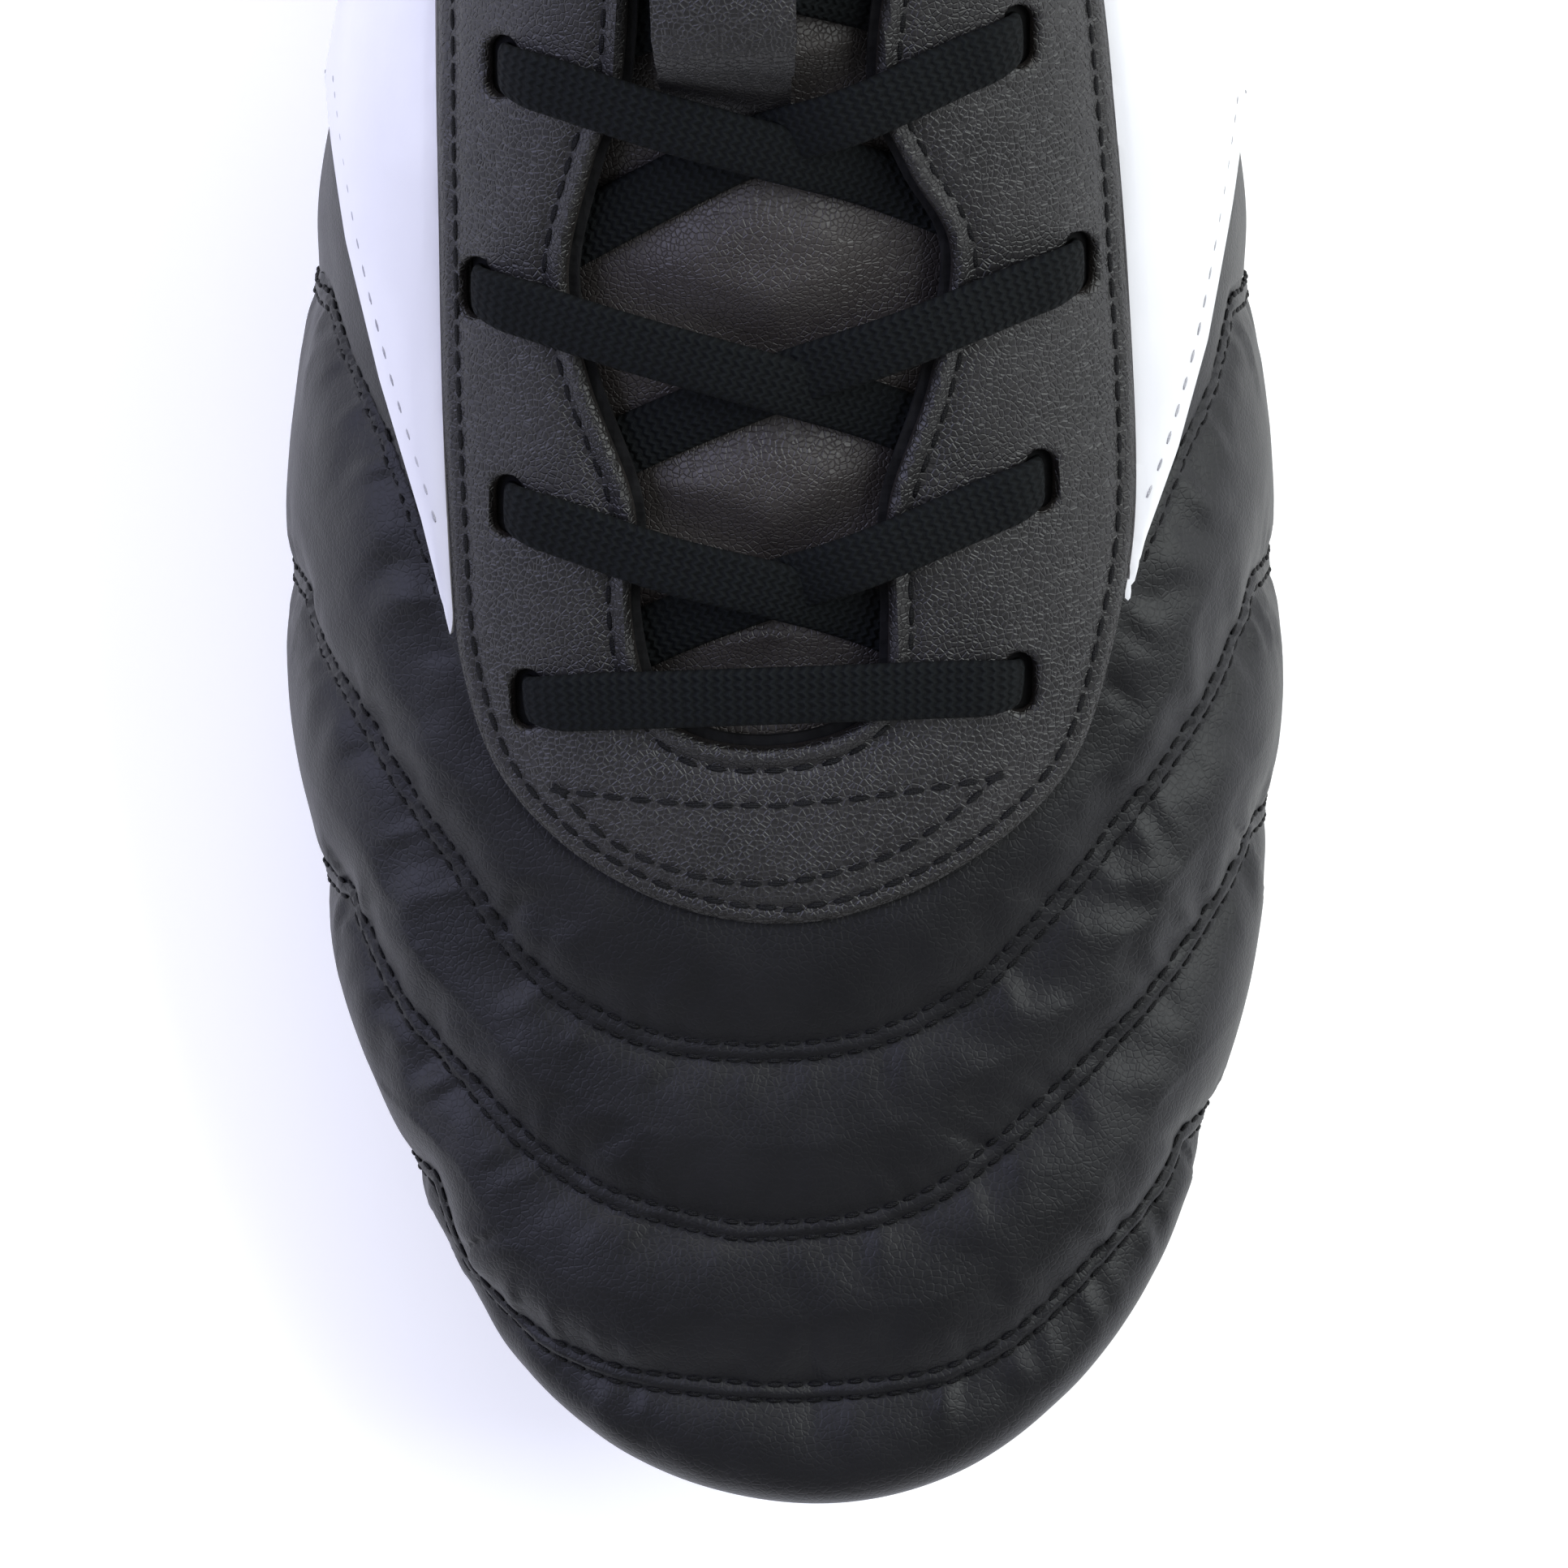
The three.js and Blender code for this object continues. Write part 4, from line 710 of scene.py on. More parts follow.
# %% Floor
floor_mesh = bpy.data.meshes.new("floor")
FLOOR = 6.0
floor_corners = [(-FLOOR, -FLOOR, 0), (FLOOR, -FLOOR, 0), (FLOOR, FLOOR, 0), (-FLOOR, FLOOR, 0)]
floor_mesh.from_pydata(floor_corners, [], [(0, 1, 2, 3)])
floor = bpy.data.objects.new("floor", floor_mesh)
floor_finish, floor_tree, floor_shader, floor_place = surface_finish("floor_paper", 0.9, 0.1)
mottled(floor_tree, floor_shader, floor_place, (0.93, 0.93, 0.94), (0.95, 0.95, 0.96), 3)
floor_shader.inputs["Emission Color"].default_value = (1, 1, 1, 1)
floor_shader.inputs["Emission Strength"].default_value = 0.28
floor_mesh.materials.append(floor_finish)
bpy.context.scene.collection.objects.link(floor)

# %% [markdown]
# ## Seams of the quilting
# Three curved seams across the vamp hold the soft leather down on its foam in two rows of
# stitches each, and one more on each flank joins vamp and quarter. They are drawn in plan, laid
# on the last, and run on down the sides to the sole.

# %% Seam lines
SEAMS = {
    "toe": [(-36.6, 32.5), (-33.3, 24.2), (-26.7, 16.8), (-17.6, 12.6), (-5.2, 11), (3.1, 10.8),
            (15.5, 12.2), (23.7, 16), (32, 23.4), (38.6, 30.8), (41.9, 37)],
    "front": [(-45.2, 61.8), (-39.9, 50.7), (-33.3, 43.2), (-25.9, 35.8), (-17.6, 30.8), (-6.9, 27.9),
              (-1.9, 27.5), (7.2, 28.3), (15.5, 31.2), (23.7, 37.4), (32, 44.9), (40.2, 54),
              (46.9, 63.9), (48.6, 68.5)],
    "middle": [(-49.6, 93), (-48.2, 87.9), (-44, 80.4), (-39.1, 72.1), (-33.3, 63.9), (-28.3, 56.4),
               (-21.7, 50.7), (-13.5, 46.9), (-5.2, 45.7), (3.1, 45.9), (11.3, 47.8), (19.6, 52.3),
               (27.9, 60.6), (36.1, 70.5), (42.7, 79.6), (46.9, 87.9), (49, 94)],
    "outer_flank": [(-47.2, 122.4), (-44.9, 116), (-40.7, 106.9), (-36.6, 96.9), (-33.3, 87.9), (-29.5, 79)],
    "inner_flank": [(29.5, 79), (33.2, 87.9), (36.1, 95.3), (40.2, 104.4), (44.4, 113.5), (46.6, 122.0)],
}
ROW_GAP = 1.7


def seam_track(plan_points, ends=(True, True)):
    """Stations and levels along a seam, carried on down the sides to the sole."""
    s, v = locate(even_line(soft_line(plan_points), 1.0))
    drop = np.linspace(0, 1, 14)[1:]
    if ends[0]:
        s = np.r_[(s[0] + np.sign(s[0]) * 0.35 * drop)[::-1], s]
        v = np.r_[(v[0] + (0.02 - v[0]) * drop)[::-1], v]
    if ends[1]:
        s = np.r_[s, s[-1] + np.sign(s[-1]) * 0.35 * drop]
        v = np.r_[v, v[-1] + (0.02 - v[-1]) * drop]
    return s, v


seam_lines, seam_squares, seam_levels = {}, {}, {}
for seam_name, plan_points in SEAMS.items():
    ends = (not seam_name.startswith("inner"), not seam_name.startswith("outer"))
    seam_s, seam_v = seam_track(plan_points, ends)
    bare = surface(seam_s, seam_v)
    square = normal(seam_s, seam_v)
    # At the crown the station changes its sign, so the line is carried over that gap.
    sound = seam_v < 0.985
    steps = np.arange(len(bare))
    both = np.column_stack([bare, square, seam_v])
    both = np.column_stack([np.interp(steps, steps[sound], both[sound, k]) for k in range(7)])
    track = even_line(both, 0.4)
    seam_lines[seam_name] = track[:, :3]
    seam_squares[seam_name] = track[:, 3:6] / np.linalg.norm(track[:, 3:6], axis=1)[:, None]
    seam_levels[seam_name] = track[:, 6]
    print(seam_name, round(len(track) * 0.4), "mm")

seam_tree = KDTree(sum(map(len, seam_lines.values())))
seam_arc, seam_side, seam_point, seam_id = [], [], [], []
for number, (seam_name, track) in enumerate(seam_lines.items()):
    along = np.gradient(track, axis=0)
    aside = np.cross(along, seam_squares[seam_name])
    aside /= np.linalg.norm(aside, axis=1)[:, None]
    for k, place in enumerate(track):
        seam_tree.insert(place, len(seam_arc))
        seam_arc.append(k * 0.4)
        seam_side.append(aside[k])
        seam_point.append(place)
        seam_id.append(number)
seam_tree.balance()
seam_arc, seam_side, seam_point, seam_id = map(np.array, (seam_arc, seam_side, seam_point, seam_id))

# %% [markdown]
# ## How the padded leather lies
# Between seams the leather swells over its foam, at a seam it dives to the stitches, and a
# low rib stands between the two rows. Where a curved seam gathers spare leather, small
# puckers run off it at right angles; they come from smooth seeded noise along the seam.

# %% Relief of the quilting
PRESSED, PUFFED, SWELL = -1.35, 0.95, 4.0
RIB = 0.5
dice = np.random.default_rng(7)
RANDOM = dice.uniform(-1, 1, (64, 512))


def ripple(along, kind, period):
    """Smooth noise along a line; kind picks the row of random values for each point."""
    i = np.floor(along / period).astype(int) % 511
    t = smooth(along / period - np.floor(along / period))
    return RANDOM[kind, i] * (1 - t) + RANDOM[kind, i + 1] * t


def swell_noise(points, size):
    """Soft lumps in space, from a few crossing waves."""
    x, y, z = (points / size).T
    return (np.sin(x * 2.1 + 1.3 * np.sin(y * 1.7)) + np.sin(y * 2.3 + 1.1 * np.sin(z * 2.9 + x))
            + np.sin(z * 2.7 + x * 1.1)) / 3


def quilt(points, v):
    found = [seam_tree.find(p) for p in points]
    d = np.array([f[2] for f in found])
    k = np.array([f[1] for f in found])
    side = ((points - seam_point[k]) * seam_side[k]).sum(1) > 0
    past = np.maximum(d - ROW_GAP / 2, 0)
    height = PRESSED + (PUFFED - PRESSED) * (1 - np.exp(-past / SWELL))
    height += RIB * np.clip(1 - (d / (ROW_GAP / 2)) ** 2, 0, 1)
    kind = seam_id[k] * 2 + side
    flank = 0.35 + 0.65 * np.clip(abs(points[:, 0]) / 34, 0, 1)
    reach = np.exp(-(((d - 2.6) / 2.4) ** 2))
    height += 0.4 * reach * flank * ripple(seam_arc[k] + 0.3 * d, kind, 1.9)
    far = np.exp(-(((d - 5.5) / 4.0) ** 2))
    height += 0.34 * far * flank * ripple(seam_arc[k] - 0.4 * d, kind + 16, 3.6)
    # Over the lasting edge the leather is pulled tight, so the relief fades towards the sole.
    return (height + 0.14 * swell_noise(points, 9)) * (0.4 + 0.6 * smooth((v - 0.1) / 0.3))


# %% Pattern outlines seen from above
EYESTAY_EDGE = soft_line([
    (-22, 226), (-28.5, 215), (-31.5, 195), (-33.5, 175), (-33.7, 153), (-33.6, 120), (-32.9, 95),
    (-31.7, 84), (-28.3, 74.6), (-21.7, 67.2), (-13.5, 62.2), (-5.2, 59.8), (2, 59.6), (8, 60.8),
    (15.5, 63.9), (23.7, 69.7), (29.5, 77.1), (32.8, 88.7), (34.6, 102), (33.6, 124), (31.6, 145), (29.9, 160),
    (29.4, 180), (29, 200), (27, 215), (20, 226)])
THROAT_EDGE = soft_line([
    (-17, 240), (-17, 205), (-15, 187), (-19, 178), (-20, 168), (-15.5, 158), (-15.8, 143),
    (-18.6, 135), (-21.2, 124), (-19.2, 113.5), (-14.8, 101), (-15.2, 91), (-13.4, 82.5), (-9.6, 78.6),
    (-2.7, 77.2), (5, 78.4), (9.6, 82), (10.4, 90), (10.3, 101), (14.2, 113), (16.4, 126), (12.2, 134),
    (9.0, 142), (10.5, 155), (16, 168), (14, 178), (12, 187), (13, 205), (13, 240)])
VAMP_SEAM = np.array([
    (-80, 152), (-47.5, 123.4), (-44.9, 116), (-40.7, 106.9), (-36.6, 96.9), (-33.3, 87.9), (-24, 74),
    (0, 68), (24, 74), (33.2, 87.9), (36.1, 95.3), (40.2, 104.4), (44.4, 113.5), (46.6, 122.6),
    (80, 152)], float)
SADDLE_OUTER = np.array([
    (-28, 84), (-32.8, 87.4), (-35.8, 100), (-39.9, 114), (-43.2, 128), (-45.7, 144), (-70, 160), (-70, 214),
    (-41, 192), (-28, 172)], float)
SADDLE_INNER = np.array([
    (28, 81), (33.5, 89), (35.7, 98), (38.9, 107), (41.9, 118), (44.4, 132), (46, 142), (70, 158), (70, 214),
    (39, 192), (26, 172)], float)
EYELETS = {-1: [(-25, 82.2), (-26.7, 101.5), (-29.6, 123), (-26.7, 144.5), (-25, 169), (-24.5, 193)],
           1: [(22.9, 83.9), (24.7, 104), (28.3, 125.5), (22.1, 147.4), (22.5, 171), (23, 195)]}
LEATHER, FOAM = 1.4, 1.2
EYESTAY_TOP = GAP + 1.2
SEAM_ALLOWANCE = 2.2


# %% Vamp
def vamp_field(base, s, v):
    xy = base[:, :2]
    past_eyestay = SEAM_ALLOWANCE - inside(EYESTAY_EDGE, xy)
    front = np.vstack([VAMP_SEAM + (0, 1.6), [(80, -40), (-80, -40)]])
    return np.minimum(past_eyestay, inside(front, xy))


def vamp_lift(base, s, v, f):
    beside = np.maximum(-inside(EYESTAY_EDGE, base[:, :2]), 0)
    pressed = 1 - np.exp(-beside / 2.2)
    foot = smooth(v / 0.1)
    height = quilt(base, v)
    gathers = ripple(base[:, 0] + base[:, 1] * 0.6, 40, 4.3)
    around = 0.25 * np.exp(-(((beside - 2.5) / 2.5) ** 2)) * gathers
    return (height + 0.5) * np.minimum(pressed, foot) - 0.5 + around * pressed


fine = 1
front = front_patch(0, 10.4, 0, int(312 * fine), int(98 * fine))
vamp = panel("vamp", [front], vamp_field, vamp_lift, LEATHER, QUILTED)
finish_piece(vamp, "root", "quilted_leather", "vamp_leather")


# %% Quarters
def quarter_field(side):
    def field(base, s, v):
        xy = base[:, :2]
        behind = -inside(np.vstack([VAMP_SEAM + (0, 0.6), [(80, -40), (-80, -40)]]), xy)
        own = np.where(abs(wrapped(s)) > 17.9, 0.3, side * wrapped(s)) - 0.01
        return np.minimum(np.minimum(behind, SEAM_ALLOWANCE - inside(EYESTAY_EDGE, xy)), own)
    return field


COLLAR_SEAM = 0.79


def quarter_lift(base, s, v, f):
    seam = distance_to(VAMP_SEAM, base[:, :2])
    behind = smooth((abs(wrapped(s)) - 13.2) / 0.8)
    below = (COLLAR_SEAM - v) * 62
    padded = 0.8 * np.clip(1 - ((below + 7) / 6.5) ** 2, 0, 1) ** 0.7 * (below < 0)
    sewn = -0.75 * np.exp(-(below / 1.1) ** 2)
    return -0.95 * np.exp(-(seam / 4.5) ** 2) + behind * (padded + sewn) + 0.15 * swell_noise(base, 14)


def side_grids(side, start, end, columns, rear_columns, rows):
    """The two grids of one side of the boot: up to the top of the throat, and on round the back."""
    rear = (THROAT_TOP, end) if side > 0 else (-end, -THROAT_TOP)
    return [front_patch(start, THROAT_TOP, 0, int(columns * fine), int(rows * fine)),
            rear_patch(*rear, 0, 1, int(rear_columns * fine), int(rows * fine))]


for side, label in ((1, "inner"), (-1, "outer")):
    grids = side_grids(side, 6.5, HEEL, 150, 110, 95)
    quarter = panel("quarter_" + label + "_leather", grids, quarter_field(side), quarter_lift,
                    LEATHER, QUILTED)
    finish_piece(quarter, "root", "quilted_leather", "quarter_" + label)

# %% [markdown]
# ## Eyestay
# The eyestay is a U of grained leather laid over the vamp and quarters. It is cut, not folded,
# so its edge shows raw brown fibre. Oval holes are punched for the lace, and the scalloped
# inner edge is stitched to a facing behind it.

# %% Eyestay
SLOT_HALF, SLOT_RADIUS, SLOT_OUTWARDS = 1.55, 1.45, 0.35
EDGE_STITCH = 1.75
THROAT_STITCH = 2.1


def slot_distance(xy):
    away = np.full(len(xy), 1e9)
    for side in (-1, 1):
        for x, y in EYELETS[side]:
            dy = np.maximum(abs(xy[:, 1] - y) - SLOT_HALF, 0)
            away = np.minimum(away, np.hypot(xy[:, 0] - x - side * SLOT_OUTWARDS, dy) - SLOT_RADIUS)
    return away


def eyestay_field(base, s, v):
    xy = base[:, :2]
    cuts = np.minimum(-inside(THROAT_EDGE, xy) * 3, slot_distance(xy) * 3.5)
    return np.minimum(inside(EYESTAY_EDGE, xy), cuts)


def eyestay_lift(base, s, v, f):
    xy = base[:, :2]
    outer, throat = inside(EYESTAY_EDGE, xy), -inside(THROAT_EDGE, xy)
    sewn = np.exp(-((outer - EDGE_STITCH) / 0.5) ** 2) + 1.4 * np.exp(-((throat - THROAT_STITCH) / 0.6) ** 2)
    puff = 0.45 * (1 - np.exp(-np.maximum(np.minimum(outer, throat) - 2.3, 0) / 3.0))
    rim = 0.4 * np.exp(-((throat - 0.8) / 0.75) ** 2)
    return EYESTAY_TOP - 0.28 * sewn + puff + rim + 0.12 * swell_noise(base, 8)


instep = front_patch(4.2, 13, 0.3, int(330 * fine), int(96 * fine))
instep_top = [rear_patch(13, 14.4, 0.3, 1, int(30 * fine), int(96 * fine)),
              rear_patch(-14.4, -13, 0.3, 1, int(30 * fine), int(96 * fine))]
eyestay = panel("eyestay_leather", [instep, *instep_top], eyestay_field, eyestay_lift,
                1.2, EYESTAY_LEATHER, CUT_EDGE, 0.45)
finish_piece(eyestay, "root", "grain_leather", "eyestay")


# %% Facing under the eyestay
def facing_field(base, s, v):
    xy = base[:, :2]
    return np.minimum(inside(EYESTAY_EDGE, xy) - SEAM_ALLOWANCE - 0.3, 0.7 - inside(THROAT_EDGE, xy))


facing = panel("throat_facing", [front_patch(4.2, 13, 0.3, int(200 * fine), int(56 * fine))], facing_field,
               lambda base, s, v, f: 0 * v, 0.8, LINING)
finish_piece(facing, "root", "lining_textile", "eyestay_facing")


# %% White side panels
def saddle_field(outline):
    tip = 91.8 if outline[0, 0] > 0 else 87.9

    def field(base, s, v):
        beside = np.minimum(inside(outline, base[:, :2]), -inside(EYESTAY_EDGE, base[:, :2]) - 0.12)
        return np.minimum(np.minimum(beside, base[:, 1] - tip), (v - 0.012) * 60)
    return field


def saddle_lift(base, s, v, f):
    return GAP + 1 + 0.35 * (1 - np.exp(-np.maximum(f - 1, 0) / 4)) + 0.1 * swell_noise(base, 16)


for side, label, outline in ((1, "inner", SADDLE_INNER), (-1, "outer", SADDLE_OUTER)):
    white = panel("side_panel_" + label + "_sheet", side_grids(side, 6.4, 14.2, 190, 30, 100),
                  saddle_field(outline), saddle_lift, 1.0, WHITE_SHEET)
    finish_piece(white, "root", "white_synthetic", "side_panel_" + label)

# %% [markdown]
# ## Lace
# One flat braid runs through the eyelets: a bar across the lowest pair, then each strand dives
# through an eyelet, comes up in the throat and crosses to the other side. The route is worked
# out strand by strand, and a flat section with a soft edge is swept along it.

# %% Heights of the lace and tongue
FACING, LACE_THICKNESS, LACE_EASE, LACE_LOFT = 0.8, 1.2, 0.9, 0.6
LACE_WIDTH, LACE_NECK = 6.1, 4.6
LACE_UNDER = -FACING - GAP - LACE_EASE - LACE_THICKNESS / 2
LACE_OVER = EYESTAY_TOP + LACE_LOFT + LACE_THICKNESS / 2
TONGUE_TOP = LACE_UNDER - LACE_THICKNESS / 2 - 1.6 * GAP
CROSSING_X = -1.5
KEPT_LOW = 5.5  # the keeper holds the crossing above the fourth pair this much lower
KNOT_SIZE = (7, 5, 3.6)
KNOT_Y = 199


def mix(start, end, share):
    return tuple(a + (b - a) * share for a, b in zip(start, end))


def open_shares(start, end):
    share = np.linspace(0, 1, 201)
    room = inside(THROAT_EDGE, np.array([mix(start, end, t) for t in share])) > LACE_WIDTH / 2 + GAP
    return share[room][0], share[room][-1]


def hop(start, end, over):
    """Plan place, height and width share: under the eyestay, up in the throat, over to the far eyelet."""
    side = math.copysign(1, start[0])
    length = math.dist(start, end)
    leave, arrive = open_shares(start, end)
    cross = 0.7 if over else -0.95

    def share_at(x):
        return (x - start[0]) / (end[0] - start[0])

    risen = share_at(CROSSING_X + side * 5)
    steps = [(-0.35 / length, 0.2, 0.7), (1.4 / length, LACE_UNDER, 0.8), (5 / length, LACE_UNDER, 1),
             (min(leave, risen - 0.03), LACE_UNDER, 1), (share_at(CROSSING_X), cross, 1),
             (arrive, LACE_OVER - 0.1, 1), (0.9, LACE_OVER + 0.05, 1),
             (1 - 2.8 / length, LACE_OVER + 0.15, 0.95), (1 - 0.2 / length, LACE_OVER - 0.9, 0.78)]
    return [(*mix(start, end, share), height, width) for share, height, width in steps]


def strand(side):
    route = []
    for row in range(5):
        start, end = EYELETS[side][row], EYELETS[-side][row + 1]
        side = -side
        low = KEPT_LOW if row == 3 else 0
        for x, y, height, width in hop(start, end, side < 0):
            share = min(max((x - start[0]) / (end[0] - start[0]), 0), 1)
            route.append((x, y - low * math.sin(math.pi * share), height, width))
    x, y = EYELETS[side][5]
    inwards = ((-0.35, 0.2, 0.7), (1.4, LACE_UNDER, 0.8), (5, LACE_UNDER, 1), (9, LACE_UNDER, 1))
    for inward, height, width in inwards:
        route.append((x - side * inward, y + inward * 0.25, height, width))
    return route + [(CROSSING_X + side * (KNOT_SIZE[0] + 1.2), KNOT_Y, 0.4, 0.8)]


bar_start, bar_end = EYELETS[1][0], EYELETS[-1][0]
bar_steps = [(0.006, LACE_OVER - 0.9, 0.78), (0.06, LACE_OVER + 0.15, 0.95)]
bar = [(*mix(bar_start, bar_end, share), height, width) for share, height, width in
       bar_steps + [(share, LACE_OVER + 0.1, 1) for share in (0.14, 0.32, 0.5, 0.68, 0.86)]
       + [(1 - share, height, width) for share, height, width in reversed(bar_steps)]]
lace_route = strand(1)[::-1] + bar + strand(-1)


# %% Ribbons
def flowing(points, step):
    """A smooth line through unevenly spaced points, resampled at an even step."""
    p = np.asarray(points, float)
    knots = np.r_[0, np.cumsum(np.maximum(np.linalg.norm(np.diff(p[:, :3], axis=0), axis=1), 0.05))]
    slope = np.gradient(p, knots, axis=0)
    at = np.linspace(0, knots[-1], int(knots[-1] / step) + 1)
    i = np.clip(np.searchsorted(knots, at, side="right") - 1, 0, len(p) - 2)
    h = (knots[i + 1] - knots[i])[:, None]
    t = ((at - knots[i])[:, None]) / h
    return ((1 + 2 * t) * (1 - t) ** 2 * p[i] + t * (1 - t) ** 2 * h * slope[i]
            + t * t * (3 - 2 * t) * p[i + 1] + t * t * (t - 1) * h * slope[i + 1])


def flat_section(sides, square):
    angle = (np.arange(sides) + 0.5) / sides * 2 * np.pi
    c, s = np.cos(angle), np.sin(angle)
    return np.sign(c) * abs(c) ** square / 2, np.sign(s) * abs(s) ** 0.85 / 2


def ribbon(name, centre, wide, widths, thicknesses, material, sides=14, square=0.55):
    along = np.gradient(centre, axis=0)
    along /= np.linalg.norm(along, axis=1)[:, None]
    wide = wide - along * (wide * along).sum(1)[:, None]
    wide /= np.linalg.norm(wide, axis=1)[:, None]
    thick = np.cross(along, wide)
    across, deep = flat_section(sides, square)
    rings = (centre[:, None] + wide[:, None] * (across[None, :, None] * widths[:, None, None])
             + thick[:, None] * (deep[None, :, None] * thicknesses[:, None, None]))
    n = len(centre)
    length = np.r_[0, np.cumsum(np.linalg.norm(np.diff(centre, axis=0), axis=1))]
    uv = np.stack([np.broadcast_to(across + 0.5, (n, sides)),
                   np.broadcast_to(length[:, None], (n, sides))], -1)
    at = np.arange(n * sides).reshape(n, sides)
    a, b = at[:-1], np.roll(at, -1, 1)[:-1]
    c, d = np.roll(at, -1, 1)[1:], at[1:]
    faces = np.stack([a, b, c, d], -1).reshape(-1, 4).tolist()
    faces += [at[0][::-1].tolist(), at[-1].tolist()]
    return new_piece(name, rings.reshape(-1, 3), faces, material, sharp=80, uv=uv.reshape(-1, 2)), length[-1]


# %% The held lace
route = np.array(lace_route)
lace_points, lace_square = above(route[:, :2], route[:, 2])
centre = flowing(np.column_stack([lace_points, lace_square, route[:, 3]]), 0.7)
lace_centre, lace_up, lace_share = centre[:, :3], centre[:, 3:6], centre[:, 6]
flat_run = np.gradient(lace_centre, axis=0) * 4
wide = np.cross(lace_up, flat_run)
wide *= np.where(wide[:, 1:2] < 0, -1, 1)
upright = np.clip(np.linalg.norm(wide, axis=1) / 2.2, 0, 1)[:, None] ** 2
level_wide = wide / np.maximum(np.linalg.norm(wide, axis=1), 1e-6)[:, None]
wide = level_wide * upright + np.array([0, 0.9, 0.35]) * (1 - upright)
for _ in range(6):
    wide[1:-1] = (wide[:-2] + 2 * wide[1:-1] + wide[2:]) / 4
widths = LACE_NECK + (LACE_WIDTH - LACE_NECK) * np.clip((lace_share - 0.7) / 0.3, 0, 1)
held_lace, held_length = ribbon("held_lace", lace_centre, wide, widths, np.full(len(widths), 1.55),
                                LACE_BRAID)
finish_piece(held_lace, "root", "lace_braid", "lace")
print("lace held in the eyelets", round(held_length), "mm")

# %% [markdown]
# ## Tongue
# The tongue is a padded strip under the lace. The crossings press it down and it puffs up in
# the diamonds between them. A strap sewn to it keeps the lace in the middle.

# %% Tongue
TONGUE_MIDDLE, TONGUE_HALF, TONGUE_FOLD = -3, 22, 205
crossed = lace_centre[::3, :2]


def tongue_field(low, high):
    def field(base, s, v):
        x, y = base[:, 0], base[:, 1]
        strip = np.minimum(TONGUE_HALF - abs(x - TONGUE_MIDDLE), np.minimum(y - low, high - y))
        return np.minimum(strip, inside(EYESTAY_EDGE, base[:, :2]) - SEAM_ALLOWANCE - 0.6)
    return field


def tongue_puff(xy):
    lines = KDTree(len(crossed))
    for k, (x, y) in enumerate(crossed):
        lines.insert((x, y, 0), k)
    lines.balance()
    near = np.array([lines.find((x, y, 0))[2] for x, y in xy])
    middle = np.exp(-(((xy[:, 0] - TONGUE_MIDDLE) / 11) ** 4))
    return 2.0 * middle * smooth((near - 1.5) / 7)


def tongue_lift(base, s, v, f):
    return TONGUE_TOP + tongue_puff(base[:, :2]) * smooth(f / 6) + 0.07 * swell_noise(base, 9)


tongue = panel("tongue_leather_cover", [front_patch(5.0, 13, 0.4, int(250 * fine), int(64 * fine))],
               tongue_field(62, TONGUE_FOLD), tongue_lift, 1.1, TONGUE_LEATHER_PAINTED_LIGHT)
finish_piece(tongue, "root", "grain_leather", "tongue_cover")

# %% Lace keeper
KEEPER_X, KEEPER_HALF = -5.4, 6.4
OVER_BRAID = LACE_OVER + LACE_THICKNESS + GAP + 0.3
KEEPER = [(137.6, TONGUE_TOP + 0.9), (139.8, TONGUE_TOP + 2.2), (146.5, OVER_BRAID),
          (160.5, OVER_BRAID), (171.8, TONGUE_TOP + 0.6), (172.8, TONGUE_TOP + GAP)]
keeper_line = flowing([(y, height, 0) for y, height in KEEPER], 0.6)
keeper_t = np.linspace(-1, 1, 17)
keeper_y, keeper_x = np.meshgrid(keeper_line[:, 0], KEEPER_X + KEEPER_HALF * keeper_t, indexing="ij")
keeper_height = np.repeat(keeper_line[:, 1], len(keeper_t)) - np.tile(0.25 * keeper_t**4, len(keeper_line))
places = np.column_stack([keeper_x.ravel(), keeper_y.ravel()])
top, square = above(places, keeper_height + 1.0)
n, m = keeper_x.shape
# The strap is stretched, so any unevenness of the surface under it is smoothed out across it.
even = np.vander(keeper_t, 4)
even = even @ np.linalg.pinv(even)
top, square = ((even @ grid.reshape(n, m, 3)).reshape(-1, 3) for grid in (top, square))
at = np.arange(n * m).reshape(n, m)
quads = np.stack([at[:-1, :-1], at[:-1, 1:], at[1:, 1:], at[1:, :-1]], -1).reshape(-1, 4)
points, faces, _ = shell(top, top - square, [tuple(q) for q in quads.tolist()])
keeper = new_piece("keeper_strap", points, faces, GRAINED)
finish_piece(keeper, "root", "grain_leather", "lace_keeper")

# %% [markdown]
# ## Rows of stitches
# Every row is a line on the last at the height of the leather under it. The quilting has rows
# on both sides of each seam, the eyestay has one inside its edges and a half-moon at its foot.

# %% Rows on the quilting
rows = []
for seam_name, track in seam_lines.items():
    along = np.gradient(track, axis=0)
    along /= np.linalg.norm(along, axis=1)[:, None]
    square = seam_squares[seam_name]
    for side in (-1, 1):
        row = track + np.cross(along, square) * side * ROW_GAP / 2
        rows.append((row + square * (quilt(row, seam_levels[seam_name]) + 0.14)[:, None], square))
stitched("quilting_stitches", rows, 2.05, 1.75, 0.62, 0.5, THREAD)


# %% Rows on the eyestay
def on_eyestay(xy, extra=0.0):
    xy = even_line(np.asarray(xy, float), 0.5)
    base, square = above(xy)
    height = eyestay_lift(base, 0, 0, None) + extra
    return base + square * height[:, None], square


def offset_line(line, away):
    along = np.gradient(line, axis=0)
    along /= np.linalg.norm(along, axis=1)[:, None]
    return line + np.column_stack([-along[:, 1], along[:, 0]]) * away


